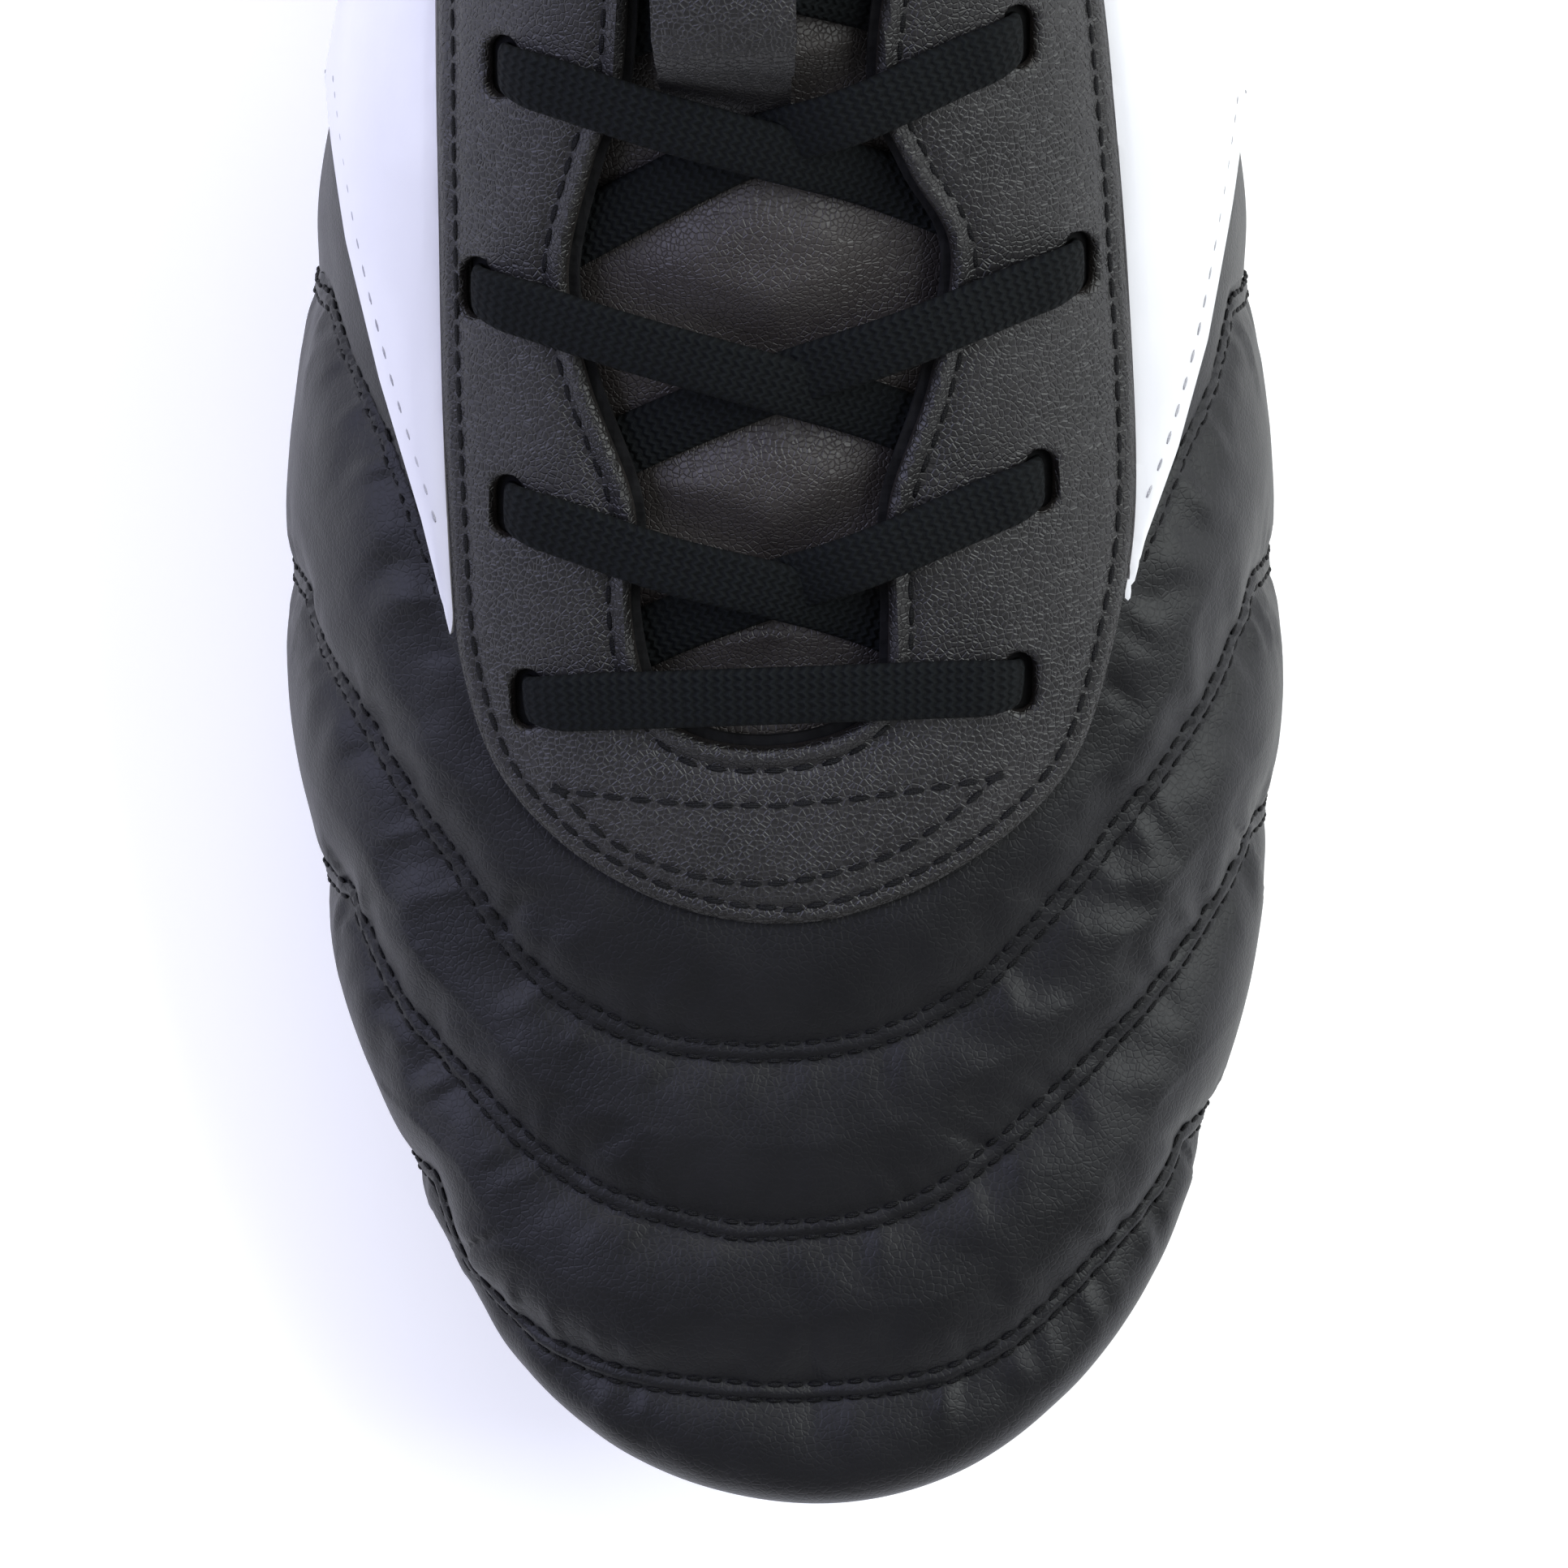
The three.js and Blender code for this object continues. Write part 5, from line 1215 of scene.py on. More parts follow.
HALF_MOON = [soft_line([(-22.1, 73.1), (-13, 72.2), (-5.2, 71.7), (5, 72.2), (14, 73.3), (20.8, 74.4)]),
             soft_line([(-22.1, 73.1), (-16.8, 67.8), (-8.5, 64.5), (-0.2, 63.9), (9.7, 66.3), (16.3, 70.4),
                        (20.8, 74.4)])]
THROAT_ARC = soft_line([(-13.9, 79.6), (-9.8, 76), (-2.7, 74.9), (5.2, 76), (9.6, 78.9)])
edge_row = offset_line(EYESTAY_EDGE, EDGE_STITCH)
throat_row = offset_line(THROAT_EDGE, -THROAT_STITCH)
upper = [k for k in range(len(throat_row)) if 82 < throat_row[k, 1] < 206]
left_row = throat_row[[k for k in upper if throat_row[k, 0] < 0]]
right_row = throat_row[[k for k in upper if throat_row[k, 0] > 0]]
edge_row = edge_row[edge_row[:, 1] < 218]
stitched("eyestay_stitches", [on_eyestay(line, 0.02) for line in
                              (edge_row, left_row, right_row, THROAT_ARC, *HALF_MOON)],
         2.7, 2.35, 0.72, 0.5, THREAD, slot="grain_leather")

# %% Rows on the white panels
slit_rows = []
for outline, turn in ((SADDLE_OUTER[1:6], 1), (SADDLE_INNER[1:7], -1)):
    line = even_line(offset_line(soft_line(outline), -1.5 * turn), 0.5)
    line = line[inside(EYESTAY_EDGE, line) < -1.2]
    base, square = above(line)
    slit_rows.append((base + square * (GAP + 1.03), square))
stitched("panel_stitches", slit_rows, 2.8, 1.5, 0.4, 0.25, SLIT_THREAD, slot="white_synthetic")

# %% [markdown]
# ## Linings
# Inside the leather lies a knitted lining. It runs under the vamp, along both quarters and
# round the heel, where it swells over the collar's foam. The heel has its own rougher piece,
# because that is where a sock wears it.

# %% Linings
FOAM_TOP = -LEATHER - GAP
LINING_TOP = FOAM_TOP - FOAM - GAP
HEEL_LINING_FROM = 232
COLLAR_BULGE = 4.5
HEEL_CLOTH = plain_cloth("heel_suede", (0.014, 0.014, 0.015), (0.03, 0.03, 0.032), 2600)


def bulge(s, v):
    near = smooth((abs(wrapped(s)) - THROAT_TOP - 0.4) / 0.8)
    return COLLAR_BULGE * near * np.sin(np.pi * np.clip((v - 0.62) / 0.36, 0, 1))


def lining_lift(base, s, v, f):
    return LINING_TOP - bulge(s, v) + 0.12 * swell_noise(base, 7)


def behind_seam(base):
    return -inside(np.vstack([VAMP_SEAM + (0, 0.3), [(80, -40), (-80, -40)]]), base[:, :2])


def vamp_lining_field(base, s, v):
    return np.minimum(-behind_seam(base) - 0.3, SEAM_ALLOWANCE - inside(EYESTAY_EDGE, base[:, :2]))


def quarter_lining_field(base, s, v):
    sides = np.minimum(behind_seam(base), SEAM_ALLOWANCE - inside(EYESTAY_EDGE, base[:, :2]))
    return np.minimum(sides, HEEL_LINING_FROM - base[:, 1])


ankle = rear_patch(13, 23, 0, 1, int(180 * fine), int(60 * fine))
sides_lining = [front_patch(6.5, 13, 0, int(90 * fine), int(60 * fine)), ankle]
finish_piece(panel("vamp_lining_knit", [front_patch(0, 10.4, 0, int(150 * fine), int(60 * fine))],
                   vamp_lining_field, lining_lift, 1, LINING), "root", "lining_textile", "vamp_lining")
finish_piece(panel("quarter_lining_knit", sides_lining, quarter_lining_field, lining_lift, 1, LINING),
             "root", "lining_textile", "quarter_lining_inner", "quarter_lining_outer")
finish_piece(panel("heel_lining_suede", [ankle], lambda base, s, v: base[:, 1] - HEEL_LINING_FROM - GAP,
                   lining_lift, 1, HEEL_CLOTH), "root", "lining_textile", "heel_lining")

# %% [markdown]
# ## Heel
# Two grained overlays grip the sides of the heel and a backstay strip covers the seam at the
# back. A round binding closes the collar's edge between the leather and the lining.

# %% Heel overlays and backstay
OVERLAY, STRIP = 1.3, 7
HEEL_FLOOR = float(sole_bottom(270.0) + SOLE_THICKNESS)
OVERLAY_SIDE = np.array([(222, -20), (224, HEEL_FLOOR), (226.5, HEEL_FLOOR + 14), (230.5, HEEL_FLOOR + 25),
                         (237, HEEL_FLOOR + 33), (246, HEEL_FLOOR + 39), (256, HEEL_FLOOR + 42.5),
                         (275, HEEL_FLOOR + 44.5), (320, HEEL_FLOOR + 46), (320, -20)])


def over_sole(base):
    return base[:, 2] - (sole_bottom(base[:, 1]) + SOLE_THICKNESS + GAP) - 0.02


def overlay_field(side):
    def field(base, s, v):
        cover = np.minimum(inside(OVERLAY_SIDE, base[:, 1:]), side * base[:, 0] - STRIP - GAP)
        return np.minimum(cover, over_sole(base) * 4)
    return field


def backstay_field(base, s, v):
    strip = np.minimum(STRIP - abs(base[:, 0]), base[:, 1] - 240)
    return np.minimum(strip, over_sole(base) * 4)


def overlay_lift(base, s, v, f):
    sewn = np.exp(-((f - 2.0) / 0.5) ** 2)
    swollen = 0.3 * (1 - np.exp(-np.maximum(f - 2.5, 0) / 3))
    return GAP + OVERLAY - 0.25 * sewn + swollen + 0.1 * swell_noise(base, 9)


heel_grid = rear_patch(14, 22, 0, 1, int(260 * fine), int(130 * fine))
for side, label in ((1, "inner"), (-1, "outer")):
    finish_piece(panel("heel_overlay_" + label + "_leather", [heel_grid], overlay_field(side), overlay_lift,
                       OVERLAY, GRAINED, CUT_EDGE), "root", "grain_leather", "heel_overlay_" + label)
finish_piece(panel("backstay_leather", [heel_grid], backstay_field, overlay_lift, OVERLAY, GRAINED, CUT_EDGE),
             "root", "grain_leather", "backstay")


def row_at(field, stations, value, lift):
    """A row where a field has one value, found by looking down each station from the collar."""
    levels = np.linspace(1, 0.02, 240)
    line, square = [], []
    for station in stations:
        s = np.full(len(levels), station)
        f = field(surface(s, levels), s, levels) - value
        hit = np.nonzero((f[:-1] < 0) & (f[1:] >= 0))[0]
        if len(hit):
            k = hit[0]
            v = levels[k] + (levels[k + 1] - levels[k]) * f[k] / (f[k] - f[k + 1])
            direction = normal(np.array([station]), np.array([v]))[0]
            line.append(surface(np.array([station]), np.array([v]))[0] + direction * lift)
            square.append(direction)
    return np.array(line), np.array(square)


ROW_LIFT = GAP + OVERLAY - 0.1
heel_rows = [row_at(overlay_field(side), [wrapped(at) for at in np.linspace(*span, 90)], value, ROW_LIFT)
             for side, span in ((1, (14.7, 17.55)), (-1, (18.45, 21.3))) for value in (2.0, 4.4)]
for x in (-STRIP + 1.8, STRIP - 1.8):
    levels = np.linspace(0.06, 0.97, 80)
    stations = np.array([18 - x / 15.2 * (1 + 0 * levels)]).ravel()
    for _ in range(12):
        stations += (surface(wrapped(stations), levels)[:, 0] - x) / 15.2
    heel_square = normal(wrapped(stations), levels)
    heel_rows.append((surface(wrapped(stations), levels) + heel_square * ROW_LIFT, heel_square))
stitched("heel_stitches", heel_rows, 2.7, 2.0, 0.5, 0.42, THREAD, slot="grain_leather")

# %% Collar binding
BINDING_RADIUS = 2.2
collar_stations = np.linspace(14.05, 21.95, 420)
edge_s = wrapped(collar_stations)
rim = surface(edge_s, np.ones(len(edge_s)))
rim_square = normal(edge_s, np.ones(len(edge_s)))
rise = rim - surface(edge_s, np.full(len(edge_s), 0.98))
rise /= np.linalg.norm(rise, axis=1)[:, None]
binding_line = rim + rim_square * (LINING_TOP - 1) / 2 + rise * (BINDING_RADIUS + 2 * GAP)
arc = np.arange(len(collar_stations)) * 0.45
gather = 1 + 0.035 * ripple(arc, np.full(len(arc), 50), 2.9)
binding, _ = ribbon("collar_edge_binding", binding_line, rim_square, 2 * BINDING_RADIUS * 1.2 * gather,
                    2 * BINDING_RADIUS * gather, GRAINED, sides=20, square=0.9)
finish_piece(binding, "root", "grain_leather", "collar_binding")
collar_row = rim - rise * 2.2 + rim_square * 0.1
padding_s = wrapped(np.linspace(13.6, 22.4, 400))
padding_v = np.full(len(padding_s), COLLAR_SEAM)
padding_base, padding_square = surface(padding_s, padding_v), normal(padding_s, padding_v)
padding_height = quarter_lift(padding_base, padding_s, padding_v, None) + 0.12
padding_row = padding_base + padding_square * padding_height[:, None]
stitched("collar_stitches", [(collar_row, rim_square), (padding_row, padding_square)],
         2.4, 1.9, 0.5, 0.42, THREAD)


# %% Rows down the back and front edges of the white panels
def column_at(field, levels, stations, value, lift, last):
    """A row where a field has one value, found by looking along each level."""
    line, square = [], []
    for level in levels:
        v = np.full(len(stations), level)
        f = field(surface(stations, v), stations, v) - value
        hit = np.nonzero((f[:-1] < 0) != (f[1:] < 0))[0]
        if len(hit):
            k = hit[-1] if last else hit[0]
            s = stations[k] + (stations[k + 1] - stations[k]) * f[k] / (f[k] - f[k + 1])
            direction = normal(np.array([s]), np.array([level]))[0]
            line.append(surface(np.array([s]), np.array([level]))[0] + direction * lift)
            square.append(direction)
    return np.array(line), np.array(square)


panel_rows = []
for side, outline in ((1, SADDLE_INNER), (-1, SADDLE_OUTER)):
    stations = side * np.linspace(9.0, 14.1, 160)
    for last, top_level in ((True, 0.4), (False, 0.24)):
        panel_rows.append(column_at(saddle_field(outline), np.linspace(0.07, top_level, 60), stations, 1.5,
                                    GAP + 1.04, last))
stitched("panel_side_stitches", panel_rows, 2.8, 1.5, 0.4, 0.25, SLIT_THREAD, slot="white_synthetic")

# %% [markdown]
# ## Tongue tip
# Above the throat the tongue is free. Its top is a padded tab, sewn round its edge, that
# folds forward over the knot on its own hinge line.

# %% Tongue tip and tongue lining
TONGUE_COVER, TONGUE_FOAM = 1.1, 4
TONGUE_LINING_TOP = TONGUE_TOP - TONGUE_COVER - TONGUE_FOAM - 2 * GAP
TIP_LENGTH, TIP_NECK, TIP_HALF = 21, 12, 17
TIP_LEAN = np.array([0, math.cos(0.42), math.sin(0.42)])
tip_t, tip_r = np.meshgrid(np.sin(np.linspace(-1, 1, 57) * np.pi / 2), np.linspace(0, 1, 41), indexing="ij")
tip_reach = tip_r * TIP_LENGTH * (1 - 0.3 * tip_t**4)
tip_x = TONGUE_MIDDLE + tip_t * (TIP_NECK + (TIP_HALF - TIP_NECK) * smooth(tip_reach / 12))
tip_root, tip_square = above(np.column_stack([tip_x.ravel(), np.full(tip_x.size, TONGUE_FOLD - 3.0)]))
rim_share = np.minimum((1 - abs(tip_t)) * 15, (1 - tip_r) * 21).ravel()
swollen = np.sqrt(np.clip(1 - (1 - np.clip(rim_share / 5.5, 0, 1)) ** 2, 0, 1))
sewn = np.exp(-((rim_share - 2.4) / 0.6) ** 2)
middle_level = (TONGUE_TOP + TONGUE_LINING_TOP - 1) / 2
half_pad = (TONGUE_TOP - TONGUE_LINING_TOP + 1) / 2
faces_of_tip = []
for way in (1, -1):
    offset = middle_level + way * half_pad * (0.28 + 0.72 * swollen - 0.12 * sewn)
    p = tip_root + tip_square * offset[:, None]
    start = (TONGUE_FOLD + GAP - p[:, 1]) / TIP_LEAN[1]
    p = p + TIP_LEAN * (start + tip_reach.ravel())[:, None]
    faces_of_tip.append(p + tip_square * (0.18 * swell_noise(p, 6) * swollen)[:, None])
n, m = tip_t.shape
at = np.arange(n * m).reshape(n, m)
quads = np.stack([at[:-1, :-1], at[1:, :-1], at[1:, 1:], at[:-1, 1:]], -1).reshape(-1, 4)
points, faces, fronts = shell(faces_of_tip[0], faces_of_tip[1], [tuple(q) for q in quads.tolist()])
tip = new_piece("tongue_tip_pad", points, faces, [TONGUE_LEATHER_PAINTED_LIGHT, LINING])
index = np.zeros(len(faces), int)
index[fronts:2 * fronts] = 1
tip.data.polygons.foreach_set("material_index", index)
finish_piece(tip, "tongue_tip", "grain_leather", "tongue_tip_cover", "tongue_tip_foam", "tongue_tip_lining")
top_grid = faces_of_tip[0].reshape(n, m, 3)
square_grid = tip_square.reshape(n, m, 3)
tip_row = np.vstack([top_grid[4, 3:37], top_grid[4:53, 36], top_grid[52, 36:3:-1]])
tip_row_square = np.vstack([square_grid[4, 3:37], square_grid[4:53, 36], square_grid[52, 36:3:-1]])
stitched("tongue_tip_stitches", [(tip_row + tip_row_square * 0.1, tip_row_square)],
         2.6, 1.9, 0.45, 0.4, THREAD, body="tongue_tip", slot="grain_leather")


def tongue_lining_lift(base, s, v, f):
    return TONGUE_LINING_TOP + 0.1 * swell_noise(base, 6)


finish_piece(panel("tongue_lining_knit", [front_patch(5.0, 13, 0.4, int(120 * fine), int(40 * fine))],
                   tongue_field(62, TONGUE_FOLD), tongue_lining_lift, 1, LINING),
             "root", "lining_textile", "tongue_lining")

# %% [markdown]
# ## Sole
# The soleplate is one nylon moulding: a thin plate with a raised rim, a boss for each stud,
# flex grooves at the ball and ribs along the waist. It is two height fields over the same
# outline, which is how such a flat moulding is cut in its tool.

# %% Plates over the sole's outline
STUDS = {"stud_front_outer": (-24, 55, FRONT_STUD), "stud_front_inner": (27, 50, FRONT_STUD),
         "stud_middle_outer": (-27, 101, FRONT_STUD), "stud_middle_inner": (28, 96, FRONT_STUD),
         "stud_heel_outer": (-17, 236, REAR_STUD), "stud_heel_inner": (17, 236, REAR_STUD)}
INSERT_RADIUS, INSERT_HEIGHT = 4, 4.4


def plate_grid(inset, rows, columns):
    """Plan grid from edge to edge: x, y and the distance from the edge."""
    s = np.r_[np.linspace(0, 1.2, rows // 6), np.linspace(1.2, 17, rows - rows // 3)[1:],
              np.linspace(17, 18, rows // 6)[1:]]
    edges = []
    for way in (-1, 1):
        q = wrapped(way * s)
        x, y, _, own = through(outline_rows, FIRST_OUTLINE, q).T
        step = outline_step(q)
        out = np.column_stack([step[:, 1], -step[:, 0]]) / np.linalg.norm(step, axis=1)[:, None]
        edges.append(np.column_stack([x, y]) - out * (own + inset)[:, None])
    t = (np.sin(np.linspace(-1, 1, columns) * np.pi / 2) * 0.5 + np.linspace(-1, 1, columns) * 0.5 + 1) / 2
    grid = edges[0][:, None] * (1 - t[None, :, None]) + edges[1][:, None] * t[None, :, None]
    outline = np.vstack([edges[0], edges[1][-2:0:-1]])
    return grid, np.maximum(inside(outline[::-1], grid.reshape(-1, 2)), 0).reshape(grid.shape[:2])


def plate_piece(name, grid, top, bottom, material):
    n, m = grid.shape[:2]
    at = np.arange(n * m).reshape(n, m)
    quads = np.stack([at[:-1, :-1], at[:-1, 1:], at[1:, 1:], at[1:, :-1]], -1).reshape(-1, 4)
    flat = grid.reshape(-1, 2)
    points, faces, _ = shell(np.column_stack([flat, top.ravel()]), np.column_stack([flat, bottom.ravel()]),
                             [tuple(q) for q in quads.tolist()])
    piece = new_piece(name, points, faces, material, sharp=50)
    work = bmesh.new()
    work.from_mesh(piece.data)
    bmesh.ops.remove_doubles(work, verts=work.verts, dist=0.00002)
    bmesh.ops.dissolve_degenerate(work, dist=0.00001, edges=work.edges)
    bmesh.ops.recalc_face_normals(work, faces=work.faces)
    work.to_mesh(piece.data)
    work.free()
    return piece


# %% Soleplate
def sole_nylon():
    finish, tree, shader, place = surface_finish("sole_nylon", 0.36, 0.5, coat=0.15)
    mottled(tree, shader, place, (0.011, 0.011, 0.012), (0.019, 0.019, 0.021), 70)
    spark = add(tree, "ShaderNodeTexNoise", {"Vector": place, "Scale": 2600, "Detail": 2.0})
    flow = add(tree, "ShaderNodeTexNoise", {"Vector": place, "Scale": 160, "Detail": 1.0})
    bumped(tree, shader, [(flow.outputs["Fac"], 0.0002, 0.3), (spark.outputs["Fac"], 0.00003, 0.8)])
    return finish


SOLE_NYLON = sole_nylon()
sole_grid, sole_edge = plate_grid(-SOLE_OVERHANG, int(300 * fine), int(110 * fine))
sole_x, sole_y = sole_grid[..., 0], sole_grid[..., 1]
relief = 0.75 * (1 - smooth((sole_edge - 2.6) / 0.9))
waist = smooth((sole_y - 124) / 12) * (1 - smooth((sole_y - 214) / 10))
for slant in (-1, 1):
    for start in (4.5, 11.5, 18.5):
        line = slant * (start + (sole_y - 170) ** 2 / 520)
        relief += 0.95 * waist * np.exp(-(((sole_x - line) / 1.0) ** 4)) * (sole_edge > 3)
ball = smooth((sole_y - 62) / 3) * (1 - smooth((sole_y - 90) / 3))
groove = ((sole_y + 0.004 * sole_x**2) - 76) % 7 - 3.5
relief -= 0.7 * ball * np.exp(-(groove / 0.8) ** 2) * smooth((sole_edge - 3.5) / 1)
tread = smooth((sole_y - 12) / 4) * (1 - smooth((sole_y - 44) / 4))
tread = tread + smooth((sole_y - 108) / 4) * (1 - smooth((sole_y - 122) / 3))
diamonds = abs(np.sin((sole_x + sole_y) * 0.55)) * abs(np.sin((sole_x - sole_y) * 0.55))
relief += 0.55 * tread * smooth((diamonds - 0.35) / 0.2) * smooth((sole_edge - 4) / 1)
heel_tread = smooth((sole_y - 252) / 4) * smooth((sole_edge - 4) / 1)
relief += 0.5 * heel_tread * smooth((diamonds - 0.35) / 0.2)
under = sole_bottom(sole_y) - relief
for x, y, height in STUDS.values():
    r = np.hypot(sole_x - x, sole_y - y)
    base = height + GAP
    boss = 1 - smooth((r - BOSS_RADIUS + 0.6) / 2.2)
    ring = 0.35 * np.exp(-((r - 8.9) / 0.35) ** 2)
    under = under * (1 - boss) + (base + ring) * boss
    under = np.where(r < INSERT_RADIUS + GAP, base + INSERT_HEIGHT + GAP, under)
over = sole_bottom(sole_y) + SOLE_THICKNESS
lip = 0.7 * (1 - smooth((sole_edge - 4.0) / 0.8)) * smooth((sole_edge - 0.5) / 0.9)
over = over + lip
shank_room = (abs(sole_x) < 9.6) & (sole_y > 121.4) & (sole_y < 226.6)
over = np.where(shank_room, over - 1.6, over)
round_off = (1 - np.sqrt(np.clip(1 - (1 - np.clip(sole_edge / 1.6, 0, 1)) ** 2, 0, 1))) * 1.3
sole = plate_piece("soleplate_moulding", sole_grid, over - round_off, under + round_off * 0.9, SOLE_NYLON)
finish_piece(sole, "root", "sole_nylon", "soleplate")


# %% Studs
def turned_metal(name, dark, light, roughness, scratch):
    finish, tree, shader, place = surface_finish(name, roughness, 0.5, metallic=1.0)
    split = add(tree, "ShaderNodeSeparateXYZ", {"Vector": place})
    tone = mottled(tree, shader, place, dark, light, 240)
    rings = add(tree, "ShaderNodeTexNoise", {"W": split.outputs["Z"], "Scale": 9000, "Detail": 2.0},
                noise_dimensions="1D")
    worn = add(tree, "ShaderNodeTexNoise", {"Vector": place, "Scale": 900, "Detail": 4.0, "Distortion": 2.0})
    bumped(tree, shader, [(rings.outputs["Fac"], 0.00003, scratch), (worn.outputs["Fac"], 0.00004, 0.4)])
    rough_between(tree, shader, tone.outputs["Fac"], roughness - 0.08, roughness + 0.12)
    return finish


STUD_METAL = turned_metal("turned_aluminium", (0.58, 0.59, 0.61), (0.76, 0.77, 0.79), 0.3, 0.8)
STEEL = turned_metal("plain_steel", (0.40, 0.40, 0.41), (0.55, 0.55, 0.56), 0.35, 0.4)
STUD_FLANGE, STUD_TIP, STUD_FLAT, THREAD_RADIUS, THREAD_LENGTH = 8, 5, 13, 2.4, 4.2


def stud_profile(height):
    waist = STUD_TIP + (STUD_FLANGE - 1.2 - STUD_TIP) * 0.9
    corner = [(STUD_TIP - 1 + math.sin(a), 1 - math.cos(a)) for a in np.linspace(0, 1.45, 7)]
    cone = [(STUD_TIP + (waist - STUD_TIP) * t, 1.0 + (height - 3.8) * t) for t in np.linspace(0.04, 1, 14)]
    fillet = [(waist + 0.9 * (1 - math.cos(a)), height - 2.75 + 0.85 * math.sin(a))
              for a in np.linspace(0.3, 1.5, 6)]
    flange = [(STUD_FLANGE - 0.25, height - 1.85), (STUD_FLANGE, height - 1.6), (STUD_FLANGE, height - 0.3),
              (STUD_FLANGE - 0.2, height)]
    thread = [(THREAD_RADIUS, height)]
    turns = int(THREAD_LENGTH / 0.4)
    for k in range(turns):
        thread += [(THREAD_RADIUS - 0.25, height + 0.4 * k + 0.2), (THREAD_RADIUS, height + 0.4 * k + 0.4)]
    tip = [(0.001, 0.15), (2.0, 0.12), (3.4, 0.02)]
    return tip + corner + cone + fillet + flange + thread + [(0.001, thread[-1][1] + 0.1)]


for name, (x, y, height) in STUDS.items():
    profile = np.array(stud_profile(height))
    sides = 48
    angle = np.arange(sides) / sides * 2 * np.pi
    rings = np.stack([profile[:, :1] * np.cos(angle), profile[:, :1] * np.sin(angle),
                      np.repeat(profile[:, 1:], sides, 1)], -1)
    flat_zone = (rings[..., 2] > 2.5) & (rings[..., 2] < height - 1.9)
    flat = STUD_FLAT / 2 - 0.4
    rings[..., 0] = np.where(flat_zone, np.clip(rings[..., 0], -flat, flat), rings[..., 0])
    rings += (x, y, 0)
    at = np.arange(len(profile) * sides).reshape(len(profile), sides)
    a, b = at[:-1], np.roll(at, -1, 1)[:-1]
    c, d = np.roll(at, -1, 1)[1:], at[1:]
    faces = np.stack([a, b, c, d], -1).reshape(-1, 4).tolist() + [at[0][::-1].tolist(), at[-1].tolist()]
    piece = new_piece(name + "_turned", rings.reshape(-1, 3), faces, STUD_METAL, sharp=35)
    finish_piece(piece, name, "stud_aluminium", name)


# %% Sockliner
def sock_cloth():
    finish, tree, shader, place = surface_finish("sockliner_cloth", 0.85, 0.25, sheen=0.15)
    mottled(tree, shader, place, (0.018, 0.019, 0.021), (0.034, 0.036, 0.04), 300)
    weave = add(tree, "ShaderNodeTexVoronoi", {"Vector": place, "Scale": 1300, "Randomness": 0.2})
    bumped(tree, shader, [(weave.outputs["Distance"], 0.0002, 0.8)])
    return finish


SOCK_CLOTH = sock_cloth()
BOARD_THICKNESS, SOCKLINER_THICKNESS = 1.8, 3.5
sock_grid, sock_edge = plate_grid(1 - (LINING_TOP - 1), int(220 * fine), int(70 * fine))
sock_y = sock_grid[..., 1]
sock_floor = sole_bottom(sock_y) + SOLE_THICKNESS + GAP + BOARD_THICKNESS + GAP
sock_round = (1 - np.sqrt(np.clip(1 - (1 - np.clip(sock_edge / 2.2, 0, 1)) ** 2, 0, 1))) * 1.6
holes = (np.hypot((sock_grid[..., 0] + 4) % 8 - 4, (sock_y + 4) % 8 - 4) < 0.9) & (sock_edge > 5)
sock_top = sock_floor + SOCKLINER_THICKNESS - sock_round - 0.5 * holes
finish_piece(plate_piece("sockliner_pad", sock_grid, sock_top, sock_floor + sock_round * 0.3, SOCK_CLOTH),
             "sockliner", "sockliner_foam", "sockliner")

# %% [markdown]
# ## Knot and bow
# The two ends of the lace are tied over the top of the tongue. The knot is a few wraps of the
# same braid; two loops and two tails lie down the sides, and every tail ends in a film aglet.

# %% Knot
KNOT_TILT = 0.42
knot_centre, _ = above([(CROSSING_X, KNOT_Y)], TONGUE_TOP + GAP + KNOT_SIZE[2] + 0.3)
tilt_cos, tilt_sin = math.cos(KNOT_TILT), math.sin(KNOT_TILT)
knot_turn = np.array([[1, 0, 0], [0, tilt_cos, -tilt_sin], [0, tilt_sin, tilt_cos]])


def wrap(name, radii, across, shift, tilt=0.0, turn=1.0):
    """One turn of braid round the knot; radii along the boot or across, and up."""
    t = np.linspace(-0.1, 1.05, 64) * 2 * np.pi * turn + 2.2
    c, s = np.cos(t) * radii[0], np.sin(t) * radii[1]
    drift = np.linspace(-0.5, 0.5, 64) * 0.8
    line = np.column_stack([drift + shift, c, s]) if across else np.column_stack([c, drift + shift, s])
    wide = np.array([1.0, tilt, 0]) if across else np.array([tilt, 1.0, 0])
    widths = 5.0 + 0.4 * np.sin(t)
    piece, _ = ribbon(name, knot_centre + line @ knot_turn.T, np.repeat((wide @ knot_turn.T)[None], 64, 0),
                      widths, np.full(64, 1.5), LACE_BRAID)
    finish_piece(piece, "root", "lace_braid", "lace_knot")


wrap("knot_band", (4.5, 3.0), True, 0.2, 0.12)
wrap("knot_left_wrap", (3.6, 2.3), True, -3.9, -0.3)
wrap("knot_right_wrap", (3.6, 2.3), True, 4.0, 0.35)
wrap("knot_under_band", (5.9, 1.9), False, -0.4, 0.15)

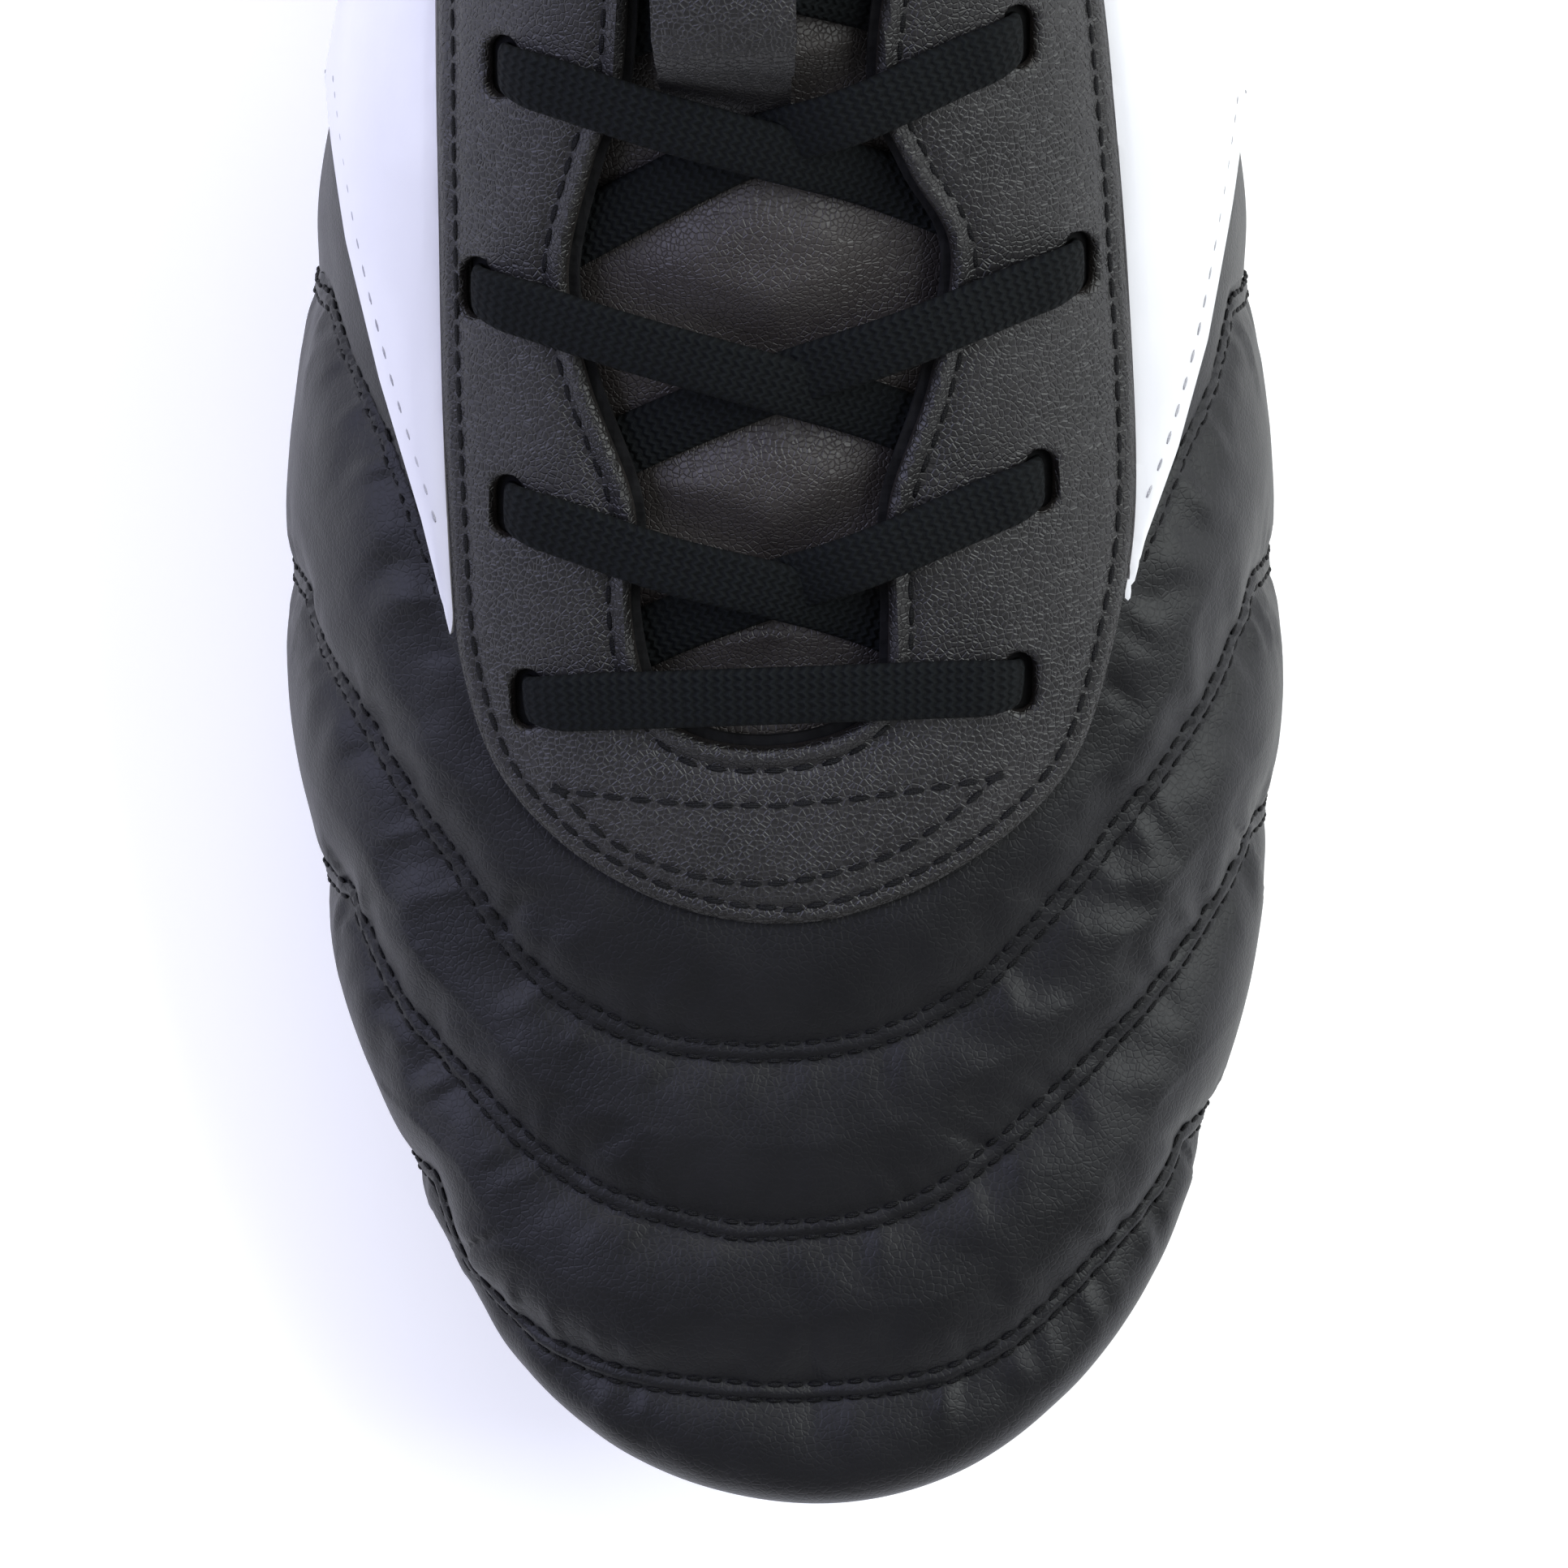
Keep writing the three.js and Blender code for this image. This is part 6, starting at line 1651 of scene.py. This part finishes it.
# %% Bow loops, tails and aglets
LOOP = [(12.78, 0.868, 2.6), (12.86, 0.82, 4.6), (12.92, 0.76, 4.8), (12.98, 0.66, 3.6), (13, 0.57, 2.9),
        (12.96, 0.5, 2.9), (12.82, 0.45, 2.9), (12.6, 0.43, 2.9), (12.4, 0.46, 2.9), (12.32, 0.53, 2.9),
        (12.32, 0.61, 3.1), (12.36, 0.7, 4.5), (12.42, 0.78, 5.2), (12.5, 0.835, 4.9), (12.56, 0.87, 3.2)]
TAIL = [(12.28, 0.9, 2.2), (12.18, 0.86, 4.2), (12.08, 0.8, 4.5), (12, 0.72, 4.3), (11.92, 0.64, 3.2),
        (11.86, 0.56, 2.9), (11.84, 0.48, 2.9), (11.86, 0.41, 2.9), (11.88, 0.35, 3), (11.88, 0.3, 3.3)]
AGLET_LENGTH, AGLET_RADIUS, FREE_WIDTH = 20, 1.7, 5.6


def aglet_film():
    finish, tree, shader, place = surface_finish("aglet_film", 0.22, 0.5, coat=0.5)
    mottled(tree, shader, place, (0.012, 0.012, 0.013), (0.03, 0.03, 0.032), 500)
    crimp = add(tree, "ShaderNodeTexNoise", {"Vector": place, "Scale": 700, "Detail": 2.0})
    bumped(tree, shader, [(crimp.outputs["Fac"], 0.00008, 0.6)])
    return finish


AGLET_FILM = aglet_film()


def lifted(rows):
    s, v, offset = np.asarray(rows, float).T
    return surface(s, v) + normal(s, v) * offset[:, None]


def free_braid(name, rows):
    rows = np.asarray(rows, float)
    nodes = lifted(rows)
    line = flowing(nodes, 0.8)
    knots = np.r_[0, np.cumsum(np.linalg.norm(np.diff(nodes, axis=0), axis=1))]
    at = np.linspace(0, knots[-1], len(line))
    square = normal(np.interp(at, knots, rows[:, 0]), np.minimum(np.interp(at, knots, rows[:, 1]), 0.99))
    along = np.gradient(line, axis=0)
    wide = np.cross(square, along)
    ends = np.minimum(at, knots[-1] - at) if name.startswith("bow") else at
    widths = 4.2 + (FREE_WIDTH - 4.2) * smooth(ends / 8)
    wave = 0.25 * ripple(at, np.full(len(at), 52), 11.0)
    line = line + square * wave[:, None]
    piece, length = ribbon(name, line, wide, widths, np.full(len(at), 1.35), LACE_BRAID)
    return piece, placed(line), length


for side, label in ((1, "inner"), (-1, "outer")):
    mirrored = np.array([side, 1, 1])
    loop, path, length = free_braid("bow_loop_braid_" + label, np.array(LOOP) * mirrored)
    finish_piece(loop, "root", "lace_braid", "bow_loop_" + label)
    print("bow loop", label, round(length), "mm")
    tail, path, length = free_braid("lace_tail_braid_" + label, np.array(TAIL) * mirrored)
    finish_piece(tail, "root", "lace_braid", "lace_tail_" + label)
    end, before = lifted(np.array(TAIL[-1:]) * mirrored)[0], lifted(np.array(TAIL[-2:-1]) * mirrored)[0]
    along = (end - before) / np.linalg.norm(end - before)
    reach = np.r_[np.linspace(GAP, GAP + AGLET_LENGTH, 40)]
    film_line = end + along * reach[:, None]
    crimped = np.minimum(reach - GAP, GAP + AGLET_LENGTH - reach)
    pinched = 1 - 0.07 * np.exp(-((reach - 5) / 1.2) ** 2) - 0.07 * np.exp(-((reach - 15) / 1.2) ** 2)
    girth = 2 * AGLET_RADIUS * (0.86 + 0.14 * smooth(crimped / 0.8)) * pinched
    film, _ = ribbon("aglet_film_" + label, film_line, np.repeat(np.array([[0, 1.0, 0]]), 40, 0), girth,
                     girth, AGLET_FILM, sides=20, square=0.9)
    finish_piece(film, "root", "aglet_film", "aglet_" + label)
    print("tail", label, round(length), "mm")

# %% [markdown]
# ## Parts inside the boot
# Stiffeners, foams, the board, the shank and the stud inserts keep their own shapes and get a
# finish of what they are made of, so that nothing inside is left as plain grey. The board's
# finish is darkened to near black as painted shade, so that where it shows in the gap under the
# upper's lower edge it reads as the shadow line there.

# %% Finishes of the inner parts
FOAM_FINISH = plain_cloth("open_foam", (0.03, 0.03, 0.032), (0.06, 0.06, 0.064), 1800)
# Painted shade: the board is near black so that the gap between the upper and the sole reads as a shadow line
# where the board shows through.
BOARD_SHADE_FINISH = plain_cloth("fibre_board", (0.016, 0.014, 0.012), (0.03, 0.026, 0.022), 1500, 0.85)
STIFFENER_FINISH = plain_cloth("stiffener_sheet", (0.30, 0.28, 0.25), (0.42, 0.4, 0.36), 1200, 0.8)
inner_parts = {"toe_puff": STIFFENER_FINISH, "heel_counter": STIFFENER_FINISH, "vamp_foam": FOAM_FINISH,
               "collar_padding": FOAM_FINISH, "tongue_foam": FOAM_FINISH, "insole_board": BOARD_SHADE_FINISH,
               "shank": STEEL}
inner_parts.update({"insert" + name[4:]: STEEL for name in STUDS})
for node, finish in inner_parts.items():
    part = bpy.data.objects[node]
    if not part.material_slots:
        part.data.materials.append(finish)
    for part_slot in part.material_slots:
        part_slot.material = finish
print("inner parts", len(inner_parts))
